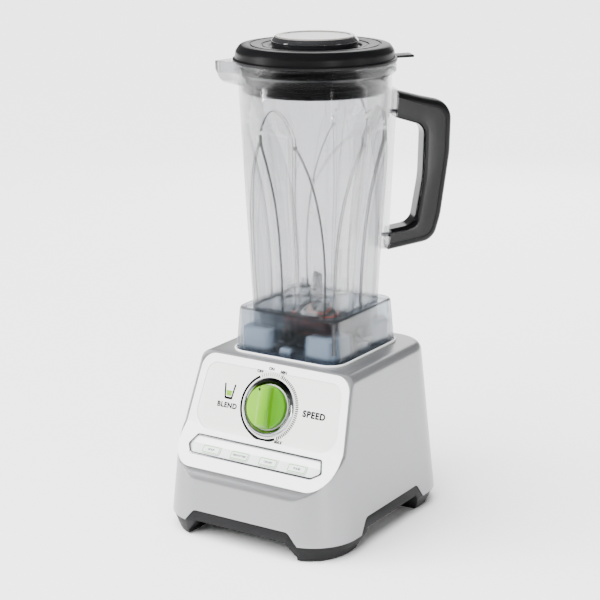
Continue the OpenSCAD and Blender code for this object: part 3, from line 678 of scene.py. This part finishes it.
def frontPlate(name, shape, low, high):  # a plate that follows the front, between two heights over it
    lowZ, topZ, margin, lowRadius, topRadius = shape
    corners = [(0, lowZ), (edgeX(lowZ) - margin, lowZ), (edgeX(topZ) - margin, topZ), (0, topZ)]
    side = roundPath(corners, [0, lowRadius, topRadius, 0], 12)
    rows = sorted(set([round(z, 4) for x, z in side] + bendRows + [90, 116, 125, 135, 145, 155]))
    low0, top0 = min(z for x, z in side), max(z for x, z in side)
    rows = [low0] + [z for z in rows if low0 + 0.01 < z < top0 - 0.01] + [top0]

    def reach(z):
        for (x1, z1), (x2, z2) in zip(side, side[1:]):
            if z1 <= z <= z2 and z2 > z1:
                return blend(x1, x2, (z - z1) / (z2 - z1))
        return side[-2][0]

    columns = 24
    first = max(x for x, z in side if z <= low0 + 0.001)
    last = max(x for x, z in side if z >= top0 - 0.001)
    bottom, cover = [], []
    for z in rows:
        half = first if z == low0 else last if z == top0 else reach(z)
        for i in range(columns + 1):
            x = half * (2 * i / columns - 1)
            bottom.append(frontPoint(x, z, low))
            cover.append(frontPoint(x, z, high))
    letGo()
    bpy.ops.mesh.primitive_grid_add(x_subdivisions=columns, y_subdivisions=len(rows) - 1, size=1)
    piece = named(name)
    for vertex, point in zip(piece.data.vertices, bottom):
        vertex.co = Vector(point) * mm
    edit(piece)
    bpy.ops.mesh.extrude_region_move()
    shiftOnto(piece, bottom, cover)
    tidyMesh(piece)
    return piece


baseShell()
print("housing done")


def faceplates():
    bezel = frontPlate("whiteBezel", bezelShape(0.2), -2.9, 0.0)
    cut(bezel, frontPlate("window", panelShape(8.35), -5, 6))
    cut(bezel, shelfHole("trimHole", 81.5, 11.8))
    bevel(bezel, 0.45, 3, 50)
    hand(bezel, "base", "white_plastic", "front_bezel")
    panel = frontPlate("greyPanel", panelShape(8.5), -2.9, -0.5)
    shaft = rod("shaftHole", 4.6, -20, 20, 48)
    shaft.data.transform(atPanel())
    cut(panel, shaft)
    cut(panel, shelfHole("trimHole", 81.5, 11.8))
    bevel(panel, 0.3, 2, 50)
    hand(panel, "base", "panel_grey", "control_panel")


def stripOutline(half, high):
    slant = 0.55 * high
    corners = [(-half, high - 2 * slant), (-half + slant, -high), (half - 1.6 * slant, -high),
               (half, -high + 1.2 * slant), (half - slant, high), (-half + slant, high)]
    return roundPath(corners, [3, 4, 5, 3, 3, 3], 6)


def shelfHole(name, half, high):
    shape = stripOutline(half, high)
    piece = stack(name, [[(x, y, z) for x, y in shape] for z in (-12, 14)])
    piece.data.transform(atShelf())
    return piece


faceplates()
skin("strip_trim", "stripTrim", 0.5, segments=3)
skin("button_strip", "buttonStrip", 0.25)
skin("dial_ring", "dialRing", 0.35, segments=3)
skin("seat_rim", "seatRim", 0.5)
skin("jar_seat", "jarSeat", 0.7, angle=40)
skin("base_tray", "baseTray", 0.8, angle=40)
skin("rubber_feet", "rubberFeet", 0.4)
print("front done")


# speed knob

knob = {"radius": 22.5, "disc": 6.5, "gripTop": 14.0, "gripLow": 8.0, "gripHigh": 6.2, "angle": 4,
        "markAngle": 25}


def speedKnob():
    r, top = knob["radius"], knob["disc"]
    profile = [(0, 6), (3.05, 6), (3.05, 0.4), (r, 0.4), (r, top), (0, top)]
    disc = turned("speedKnob", roundPath(profile, [0, 0, 0, 0.4, 1.6, 0], 6), atPanel(), 128)
    rings = []
    for share, inset in ((0.0, 0), (0.5, 0), (0.78, 0.0), (0.9, 0.7), (0.97, 1.5), (1.0, 2.8)):
        z = blend(top - 1.5, knob["gripTop"], share)
        half = blend(knob["gripLow"], knob["gripHigh"], share) - inset
        reach = 23.5 - 0.225 * z - inset
        tip = math.asin(half / reach)
        sweep = [tip - 2 * tip * i / 10 for i in range(11)]
        rim = [(reach * math.sin(a), reach * math.cos(a)) for a in sweep]
        away = [(-x, -y) for x, y in rim]
        rings.append([(x, y, z) for x, y in rim + away])
    grip = stack("grip", rings)
    grip.data.transform(atPanel() @ rotate(knob["angle"]))
    cut(disc, grip, "UNION")
    mark = block("markHole", (-3.3, 15.9, 2.9), (3.3, 20.6, 30))
    mark.data.transform(atPanel() @ rotate(knob["markAngle"]))
    cut(disc, mark)
    bevel(disc, 0.5, 3, 45)
    hand(disc, "knob", "knob_green", "speed_knob")


speedKnob()
skin("knob_pointer", "knobPointer", 0.25)


# printing: thin raised film

def word(name, text, size, place, body, finish, weight, spacing=1.0):
    letGo()
    bpy.ops.object.text_add(location=(0, 0, 0))
    piece = bpy.context.object
    piece.data.body, piece.data.size = text, size * mm
    piece.data.align_x, piece.data.align_y = "CENTER", "CENTER"
    piece.data.extrude, piece.data.offset = 0.00003, weight * mm
    piece.data.resolution_u, piece.data.space_character = 4, spacing
    bpy.ops.object.convert(target="MESH")
    piece = named(name)
    if isinstance(place, Matrix):
        piece.data.transform(place)
    else:  # x and y on the panel, from the dial's centre
        onPanel(piece, *place)
    return belong(piece, body, finish)


def onPanel(piece, x=0.0, y=0.0):  # printing in the dial's own axes is laid on the front's surface
    for vertex in piece.data.vertices:
        across, up, over = (vertex.co.x / mm + x, vertex.co.y / mm + y, vertex.co.z / mm)
        z = panelAt[1] + up * math.cos(math.radians(panelLean))
        over += 0.03 if z > 167.8 else -0.46  # the bezel stands above the panel
        vertex.co = Vector(frontPoint(across, z, over)) * mm


def film(name, outlines, body, finish, x=0.0, y=0.0):  # printed shapes as one piece
    parts = [stack(name, [[(*point, z) for point in shape] for z in (-0.03, 0.05)]) for shape in outlines]
    piece = join(parts, name)
    onPanel(piece, x, y)
    return belong(piece, body, finish)


def around(radius, angle):  # clockwise from the top of the dial
    return (radius * math.sin(math.radians(angle)), radius * math.cos(math.radians(angle)))


def arcShape(inner, outer, first, last, steps):
    angles = [blend(first, last, i / steps) for i in range(steps + 1)]
    return [around(outer, a) for a in angles] + [around(inner, a) for a in reversed(angles)]


dial = {"ticks": 36, "low": 17, "high": 151, "tickIn": 31.6, "tickOut": 35.0, "tickWide": 1.25,
        "labelSize": 4.2,
        "labels": (("OFF", -27, 38.4), ("ON", -6, 38.8), ("MIN", 16, 38.6), ("MAX", 150, 37.6))}


def dialPrint():
    shapes = []
    for i in range(dial["ticks"] + 1):
        angle = blend(dial["low"], dial["high"], i / dial["ticks"])
        middle = (dial["tickIn"] + dial["tickOut"]) / 2
        wide = math.degrees(dial["tickWide"] / middle) / 2
        longer = 0.9 if i in (0, dial["ticks"]) else 0
        shapes.append(arcShape(dial["tickIn"], dial["tickOut"] + longer, angle - wide, angle + wide, 1))
    for i in range(10):
        angle = blend(-25, 14, i / 9)
        shapes.append(arcShape(dial["tickIn"], dial["tickOut"], angle - 0.5, angle + 0.5, 1))
    shapes.append(arcShape(31.9, 34.4, 156, 331, 60))
    film("dialTicks", shapes, "base", printBlack)
    for text, angle, reach in dial["labels"]:
        word("dial" + text.capitalize(), text, dial["labelSize"], around(reach, angle), "base",
             printBlack, 0.24)


def frontMarks():  # a tumbler with its fill at the left, a plain word at the right
    cup = roundPath([(-7.2, 8), (-4.6, -8), (4.6, -8), (7.2, 8),
                     (5.2, 8), (3.2, -5.6), (-3.2, -5.6), (-5.2, 8)],
                    [0.5, 1.2, 1.2, 0.5, 0.3, 0.8, 0.8, 0.3], 3)
    fill = roundPath([(-3.6, 1), (-2.7, -4.6), (2.7, -4.6), (3.6, 1)], [0.3, 0.5, 0.5, 0.3], 3)
    film("cupMark", [cup], "base", printBlack, -50, 8)
    film("fillMark", [fill], "base", finishes["knob_green"], -50, 8)
    word("leftWord", "BLEND", 7.2, (-50, -6.5), "base", printBlack, 0.36, 1.14)
    word("rightWord", "SPEED", 8.8, (54, 0.5), "base", printBlack, 0.46, 1.14)


dialPrint()
frontMarks()

buttons = {"pitch": 34.6, "wide": 22, "high": 9.4, "drop": -3.2, "line": 0.7,
           "words": ("SOUP", "SMOOTHIE", "CRUSH", "PULSE")}


def buttonSet():
    for i, text in enumerate(buttons["words"]):
        node = f"button_{i + 1}"
        skin(node, f"button{i + 1}", 0.35, segments=3)
        x = (i - 1.5) * buttons["pitch"]
        place = atShelf() @ move(x, buttons["drop"], 0.03)
        half, tall = buttons["wide"] / 2 - 0.8, buttons["high"] / 2 - 0.8
        outer = oblong(half, tall, 1.3, 4)
        inner = oblong(half - buttons["line"], tall - buttons["line"], 0.7, 4)
        low, high = -0.02, 0.04
        rows = [(outer, low), (outer, high), (inner, high), (inner, low), (outer, low)]
        ring = stack(f"button{i + 1}Line", [[(*point, z) for point in path] for path, z in rows], tube=True)
        ring.data.transform(place)
        hand(ring, node, "knob_green", finish=printGreen)
        word(f"button{i + 1}Word", text, 2.9, place, node, printGrey, 0.14, 1.08)


buttonSet()
print("printing done")


# collar, jar and its bearing

collar = {"foot": 64.6, "footR": 18.2, "footZ": 179.1, "top": 61.0, "topR": 15, "shelf": 224.7, "wall": 2.8,
          "mouth": 50.15, "mouthR": 11.5, "round": 3.5}


def jarCollar():
    c, brimZ = collar, collar["shelf"] - collar["round"]
    rings = []
    for i in range(9):
        t = i / 8
        rings.append(squareRing(blend(c["foot"], c["top"], t), blend(c["footR"], c["topR"], t),
                                blend(c["footZ"], brimZ, t)))
    for i in range(1, 7):
        a = math.pi / 2 * i / 6
        inset, rise = c["round"] * (1 - math.cos(a)), c["round"] * math.sin(a)
        rings.append(squareRing(c["top"] - inset, c["topR"] - inset * 0.6, brimZ + rise))
    rings.append(squareRing(c["mouth"], c["mouthR"], c["shelf"]))
    rings.append(squareRing(c["mouth"], c["mouthR"], c["shelf"] - c["wall"]))
    for i in range(9):
        t = 1 - i / 8
        rings.append(squareRing(blend(c["foot"], c["top"], t) - c["wall"],
                                blend(c["footR"], c["topR"], t) - c["wall"],
                                blend(c["footZ"], c["shelf"] - c["wall"], t)))
    rings.append(rings[0])
    piece = stack("jarCollar", rings, tube=True)
    hand(piece, "jar", "clear_jar", "jar_collar", finish=collarClear)
    piece.data.materials.append(paintedCreaseShade)
    for face in piece.data.polygons:  # painted shade: corners and rims take the dark crease material
        x, y, z = abs(face.center.x / mm), abs(face.center.y / mm - jarY), face.center.z / mm
        side = max(x, y) - blend(c["foot"], c["top"], (z - c["footZ"]) / (brimZ - c["footZ"]))
        corner = abs(x - y) < 1.6 and side > -6 and z < c["shelf"] - 2
        brim = c["shelf"] - 1.6 < z < c["shelf"] - 0.2 and max(x, y) > c["mouth"] + 2
        inner = z > c["shelf"] - 2.7 and max(x, y) < c["mouth"] + 0.1
        face.material_index = int(corner or brim or inner)
    ribs = []
    for a in range(4):
        for y in (-14, 6, 14):
            rib = block("rib", (50.5, y - 0.9, 192), (57.0, y + 0.9, 221.5), 0.4)
            rib.data.transform(move(0, jarY, 0) @ rotate(90 * a))
            ribs.append(rib)
    hand(join(ribs, "collarRibs"), "jar", "clear_jar", finish=collarClear)


jarCollar()


# jar: a cone with four flat faces and a flute down each, as distance from its axis by height and angle;
# a row of flutes holds height, radius, distance from the axis and tilt

jar = {"low": 65.4, "slope": 12.4 / 236.3, "square": 50.7, "curve": 710, "faceZ": 228, "wall": 3,
       "floor": 210, "foot": 204, "shelf": 224.7, "neck": 461, "hub": 17.3, "soft": 0.3, "line": 0.7,
       "flutes": ((200, 8.4, 52.8, 3), (228, 9, 53.9, 4), (284, 12.1, 60.7, 7), (343, 16, 71.6, 12),
                   (407, 24, 87.2, 20), (435, 24, 105, 30)),
       "rim": ((463, 79.6), (465, 81.6), (465.5, 82), (474, 82), (474.5, 81.4), (474.5, 78.6),
               (474, 78), (465, 78))}


def coneAt(z, d):
    return jar["low"] + (z - jar["shelf"]) * jar["slope"] - d


def faceAt(z, d, angle):
    bow = jar["curve"] - math.sqrt(jar["curve"] ** 2 - max(0, z - jar["faceZ"]) ** 2)
    return (jar["square"] + bow - d) / math.cos(angle)


def fluteAt(z, d, angle):
    for a, b in zip(jar["flutes"], jar["flutes"][1:]):
        if a[0] <= z < b[0]:
            radius, away, tilt = (blend(p, q, (z - a[0]) / (b[0] - a[0])) for p, q in zip(a[1:], b[1:]))
            across, deep = (radius + d) ** 2, ((radius + d) / math.cos(math.radians(tilt))) ** 2
            one = math.cos(angle) ** 2 / deep + math.sin(angle) ** 2 / across
            two = -2 * away * math.cos(angle) / deep
            inside = two * two - 4 * one * (away * away / deep - 1)
            return (-two - math.sqrt(inside)) / (2 * one) if inside > 0 else 200
    return 200


def softer(a, b):  # the smaller of two distances, with a rounded edge between them
    k = jar["soft"]
    low = min(a, b)
    if abs(a - b) >= 12 * k:
        return low
    return low - k * math.log(math.exp((low - a) / k) + math.exp((low - b) / k))


def wallAt(z, d, angle):
    return softer(softer(coneAt(z, d), faceAt(z, d, angle)), fluteAt(z, d, angle))


def overFlute(z, d, angle):  # below zero inside the flute
    return fluteAt(z, d, angle) - min(coneAt(z, d), faceAt(z, d, angle))


def creases(z, d):  # angles of the flute's edge and of the flat face's edge
    fluteEdge, low, high = 0.0, 0.0, math.pi / 4
    if overFlute(z, d, 0.0) < 0:
        for _ in range(22):
            middle = (low + high) / 2
            low, high = (middle, high) if overFlute(z, d, middle) < 0 else (low, middle)
        fluteEdge = low
    ratio = faceAt(z, d, 0) / coneAt(z, d)
    faceEdge = math.acos(ratio) if ratio < 1 else 0.0
    return fluteEdge, faceEdge


def jarAngles(z, d):  # closer together at the creases
    line = jar["line"] / coneAt(z, d)
    one, two = creases(z, d)
    one = max(one, 2 * line)
    two = min(max(two, one + 3 * line), math.pi / 4 - 2 * line)
    half = [blend(0, one - line, i / 6) for i in range(7)] + [one, one + line]
    half += [blend(one + line, two - line, i / 6) for i in range(1, 7)] + [two, two + line]
    half += [blend(two + line, math.pi / 4, i / 6) for i in range(1, 7)]
    whole = [-a for a in reversed(half[1:-1])] + half
    return [a + k * math.pi / 2 for k in range(4) for a in whole], whole * 4


def jarRing(z, reach, d=0.0, at=None):  # reach gives the distance at an angle from the nearest face's middle
    ring = []
    for a, b in zip(*jarAngles(at or max(z, jar["shelf"]), d)):
        away = reach(abs(b))
        ring.append((away * math.cos(a), jarY + away * math.sin(a), z))
    return ring


def bootAt(half, radius, angle):
    if half * math.tan(angle) <= half - radius:
        return half / math.cos(angle)
    middle = half - radius
    along = middle * (math.cos(angle) + math.sin(angle))
    return along + math.sqrt(max(0, along * along - 2 * middle * middle + radius * radius))


def jarWall():
    low, top, t = jar["shelf"] + 0.05, jar["neck"], jar["wall"]
    heights = [low, 227, 230, 234] + list(range(240, 400, 6)) + [400, 404, 408, 412, 415, 418, 420]
    heights += [421 + i * 0.7 for i in range(23)] + [440, 446, 454, top]
    rows = [jarRing(jar["foot"], lambda a: jar["hub"]), jarRing(jar["foot"], lambda a: bootAt(50, 12, a)),
            jarRing(low - 1, lambda a: bootAt(50, 12, a))]
    rows += [jarRing(z, lambda a: wallAt(z, 0, a)) for z in heights]
    rows += [jarRing(z, lambda a: r, 0, top) for z, r in jar["rim"]]
    rows += [jarRing(z, lambda a: wallAt(z, t, a), t) for z in reversed(heights)]
    rows += [jarRing(z, lambda a: bootAt(47, 9, a), t) for z in (low - 1, jar["floor"] + 1)]
    rows += [jarRing(jar["floor"], lambda a: bootAt(46, 8, a), t)]
    rows += [jarRing(jar["floor"], lambda a: jar["hub"]), rows[0]]
    piece = hand(stack("jarWall", rows, tube=True), "jar", "clear_jar", "jar", angle=60)
    piece.data.materials.append(paintedCreaseShade)
    # painted shade along the creases and the rim's edges
    for face in piece.data.polygons:
        corners = [piece.data.vertices[i].co / mm for i in face.vertices]
        face.material_index = int(onLineOfJar(corners))


def onLineOfJar(corners):  # painted shade: faces along a crease take the darker material
    z = sum(c.z for c in corners) / len(corners)
    reach = sum(math.hypot(c.x, c.y - jarY) for c in corners) / len(corners)
    if z > jar["neck"] - 2:
        return reach > 80.5 and (z < 465.4 or z > 474.1)
    angles = [spot(c) for c in corners]
    widest = 3.5 if z < 345 else 2.1 if 400 < z < 424 else 99  # broader faces are left clear
    if z < jar["shelf"] or (max(angles) - min(angles)) * reach > widest:
        return False
    d = 0.0 if reach > wallAt(z, 1.5, spot(corners[0])) else jar["wall"]
    over = [overFlute(c.z, d, spot(c)) for c in corners]
    if min(over) < 0.03 and max(over) > -0.03:
        return True
    edge = [faceAt(c.z, d, spot(c)) - coneAt(c.z, d) for c in corners]
    return min(edge) < 0.01 and max(edge) > -0.01 and min(over) > 0


def spot(corner):  # angle from the middle of the nearest face
    angle = math.atan2(corner.y - jarY, corner.x) % (math.pi / 2)
    return min(angle, math.pi / 2 - angle)


spout = {"low": 440, "top": 477.2, "wall": 2.4}


def spoutForm(name, m, low, high):
    plan = [(60, -32 + m), (101 - 1.6 * m, -3), (101 - 1.6 * m, 3), (60, 32 - m)]
    plan = roundPath(plan, [0, 4, 4, 0], 6)
    side = [(60, 440 + 1.5 * m), (76, 454 + 1.2 * m), (95, 457 + m), (102, 472 + m), (102, 490), (60, 490)]
    side = roundPath(side, [0, 6, 6, 3, 0, 0], 6)
    form = stack(name, [[(x, y, z) for x, y in plan] for z in (low, high)])
    cut(form, stack("side", [[(x, y, z) for x, z in side] for y in (-50, 50)]), "INTERSECT")
    form.data.transform(move(0, jarY, 0) @ rotate(225))
    return form


def jarSpout():
    piece = spoutForm("jarSpout", 0, spout["low"], spout["top"])
    cut(piece, spoutForm("channel", spout["wall"], 466, 490))
    profile = [(0, 400), (coneAt(400, -0.1), 400), (coneAt(461, -0.1), 461), (82.1, 465.1), (82.1, 474.5),
               (83.2, 474.5), (83.2, 495), (0, 495)]
    cut(piece, turned("body", profile, steps=128))
    bevel(piece, 0.5, 2, 35)
    hand(piece, "jar", "clear_jar")
    piece.data.materials.append(paintedCreaseShade)
    # painted shade: the lip and the outer edge take the dark crease material
    for face in piece.data.polygons:
        away = math.hypot(face.center.x / mm, face.center.y / mm - jarY)
        lip = face.center.z / mm > spout["top"] - 0.3
        face.material_index = int(lip or (away > 98.6 and face.center.z / mm < 474))


jarWall()
jarSpout()
print("jar wall done")
skin("handle_bracket", "handleBracket", 0, 35)
skin("bearing_housing", "bearingNut", 0.8)
skin("blade_gasket", "bladeGasket", 0.5)
skin("bearing_bell", "bearingBell", 0.3)
skin("blade_nut", "bladeNut", 0.3)
skin("lower_blade", "lowerBlade", 0.25)
skin("upper_blade", "upperBlade", 0.25)
print("jar done")


# handle, drawn in its own plane: distance from the jar's axis, height, and across

handle = {"shellHalf": 14.5, "shellInset": 5.6, "coreHalf": 13.7, "coreRound": 5.0, "seamGap": 0.25}


def handlePoint(reach, z, across):
    return ((reach + across) * math.sqrt(0.5), jarY + (reach - across) * math.sqrt(0.5), z)


def gripEdge(m):
    return roundPath([(84.0, 442 - m), (112 - m / 2, 434.5 - m), (141.5 - m, 428 - m),
                      (140.4 - m, 378), (131.5 - m, 312), (124 - m, 285 + m), (75.4, 276.5 + m)],
                     [0, 40, 20 - m / 2, 90, 90, 19 - m / 2, 0], 10)


def seamEdge(m):
    return roundPath([(83.7, 436 - m), (109, 427.5 - m), (134 - m, 422 - m),
                      (133.2 - m, 378), (124.6 - m, 314), (118.6 - m, 292 + m), (75.8, 284 + m)],
                     [0, 30, 14, 80, 80, 14, 0], 10)


def holeEdge(k):
    return roundPath([(82.6, 414.5 + k), (111.5 + k, 405.4 + k), (110 + k, 352), (101.8 + k, 303.2 - k),
                      (76.8, 299 - k)], [0, 12 + k / 2, 120, 14 + k / 2, 0], 10)


def handleShell():
    half, deep = handle["shellHalf"], handle["shellInset"]
    rings = []
    for i in range(25):
        across = half * math.sin(math.pi * (i / 24 - 0.5))
        m = deep * (1 - math.sqrt(max(0.0, 1 - abs(across / half) ** 2.4)))
        loop = gripEdge(m) + list(reversed(seamEdge(0)))
        rings.append([handlePoint(u, z, across) for u, z in loop])
    hand(stack("handleShell", rings), "jar", "handle_satin", "handle_shell", angle=45)


def handleCore():
    half, soft = handle["coreHalf"], handle["coreRound"]
    rings = []
    for i in range(21):
        across = half * math.sin(math.pi * (i / 20 - 0.5))
        over = max(0.0, abs(across) - (half - soft)) / soft
        k = soft * (1 - math.sqrt(max(0.0, 1 - over ** 2)))
        loop = seamEdge(handle["seamGap"]) + list(reversed(holeEdge(k)))
        rings.append([handlePoint(u, z, across) for u, z in loop])
    hand(stack("handleCore", rings), "jar", "handle_gloss", "handle_core", angle=45)


handleShell()
handleCore()
print("handle done")


# lid and cap

lid = {"flange": 82.6, "side": 79.6, "crest": 70, "crestZ": 491.6, "bore": 36.2}


def lidPiece():
    bore, flange, crestZ = lid["bore"], lid["flange"], lid["crestZ"]
    outline = [(bore, 446), (bore + 2.4, 446), (bore + 2.4, 474.6), (68.6, 474.6), (68.6, 446),
               (71.4, 446), (71.4, 474.7), (flange, 474.7), (flange, 477.6), (80.4, 478.0),
               (lid["side"], 485), (lid["crest"] + 5.5, crestZ - 0.6), (67.0, crestZ), (66.4, 490.7),
               (64.8, 490.7), (64.2, 491.6), (54.5, 490.9), (53.9, 490.0), (52.6, 490.0), (52.0, 490.6),
               (47.6, 489.8), (45.6, 487.9), (bore, 487.9)]
    soft = [0.3, 0.3, 0, 0, 0.3, 0.3, 0, 0.5, 0.9, 1.2, 6, 5, 0.5, 0.3, 0.3,
            0.5, 0.5, 0.3, 0.3, 0.5, 1.5, 0.8, 0.4]
    dome = turned("lidDome", roundPath(outline, soft, 5), steps=160)
    tabCorners = [(79, 474.9), (100.5, 475.4), (100.5, 478.0), (79, 477.4)]
    tab = stack("lidTab", [[handlePoint(u, z, across) for u, z in tabCorners] for across in (-10, 10)])
    cutter = rod("tabCut", 82.0, 400, 500, 128)
    cutter.data.transform(move(0, jarY, 0))
    cut(tab, cutter)
    bevel(tab, 0.8, 3, 40)
    hand(join([dome, tab], "lidDome"), "lid", "lid_black", "lid")


cap = {"rim": 39.6, "wide": 43.8, "cup": 35.7, "wall": 2.5, "low": 452, "top": 500}


def capPiece():
    cup, rim, low, top = cap["cup"], cap["rim"], cap["low"], cap["top"]
    inner = cup - cap["wall"]
    outline = [(0, 497.0), (31, 497.0), (inner, 494.6), (inner, low), (cup, low), (cup, 488.3),
               (43.2, 488.5), (cap["wide"], 495.0), (rim, top), (36.2, top), (34.6, 499.1),
               (20, 498.9), (0, 498.9)]
    soft = [0, 2, 1, 0.6, 0.6, 0.2, 0.8, 2.0, 1.0, 0.5, 0.5, 3, 0]
    hand(turned("capCup", roundPath(outline, soft, 6)), "cap", "clear_cap", "measuring_cap")


lidPiece()
capPiece()
skin("lid_seal", "lidSeal", 0)
print("lid done")


# floor, light and camera

studio = {"sky": 0.26, "sun": 13.5, "sunFrom": (-0.35, -0.75, 1.6), "sunWide": 80, "floor": 60,
          "boxes": (("leftBox", (-1.3, -1.0, 0.7), (0, 0, 0.25), (0.3, 1.4), 16),
                    ("rightBox", (1.6, 0.3, 0.8), (0, 0, 0.25), (0.35, 1.3), 3),
                    ("cornerBox", (1.35, -0.87, 0.4), (0, 0, 0.15), (0.07, 0.9), 6),
                    ("backBox", (-0.7, 1.6, 0.9), (0, 0, 0.3), (0.9, 1.2), 10)),
          "look": (-0.00393, -0.00254, 0.2308), "from": (0.9398, -1.4646, 0.7088),
          "roll": -0.35, "lens": 105.4}


def aimed(place, target):
    return (Vector(target) - Vector(place)).to_track_quat("-Z", "Y")


def setStudio():  # a lamp box is its name, place, aim, size and power
    letGo()
    bpy.ops.mesh.primitive_plane_add(size=studio["floor"], location=(0, 0, 0))
    floor = named("floor")
    paint = Paint("paleFloor")
    cloud = paint.noise(3, 2)
    colour = paint.mix(cloud, (0.93, 0.93, 0.93, 1), (0.9, 0.9, 0.9, 1))
    floor.data.materials.append(paint.finish(colour=colour, rough=0.75 + cloud * 0.05))
    world = bpy.data.worlds.new("softRoom")
    bpy.context.scene.world = world
    world.use_nodes = True
    background = world.node_tree.nodes["Background"]
    background.inputs[0].default_value = (1, 1, 1, 1)
    background.inputs[1].default_value = studio["sky"]
    for name, place, aim, size, power in studio["boxes"]:
        lamp = bpy.data.lights.new(name, "AREA")
        lamp.shape, lamp.size, lamp.size_y, lamp.energy = "RECTANGLE", size[0], size[1], power
        box = shown(name, lamp)
        box.location = place
        box.rotation_euler = aimed(place, aim).to_euler()
    lamp = bpy.data.lights.new("softSky", "SUN")
    lamp.energy, lamp.angle = studio["sun"], math.radians(studio["sunWide"])
    sky = shown("softSky", lamp)
    sky.rotation_euler = aimed(studio["sunFrom"], (0, 0, 0)).to_euler()
    sky.visible_glossy = False
    view = bpy.data.cameras.new("mainView")
    view.lens, view.sensor_width = studio["lens"], 36
    camera = shown("mainView", view)
    camera.location = studio["from"]
    facing = aimed(studio["from"], studio["look"]).to_matrix()
    camera.rotation_euler = (facing @ rotate(studio["roll"]).to_3x3()).to_euler()
    bpy.context.scene.camera = camera


setStudio()
letGo()
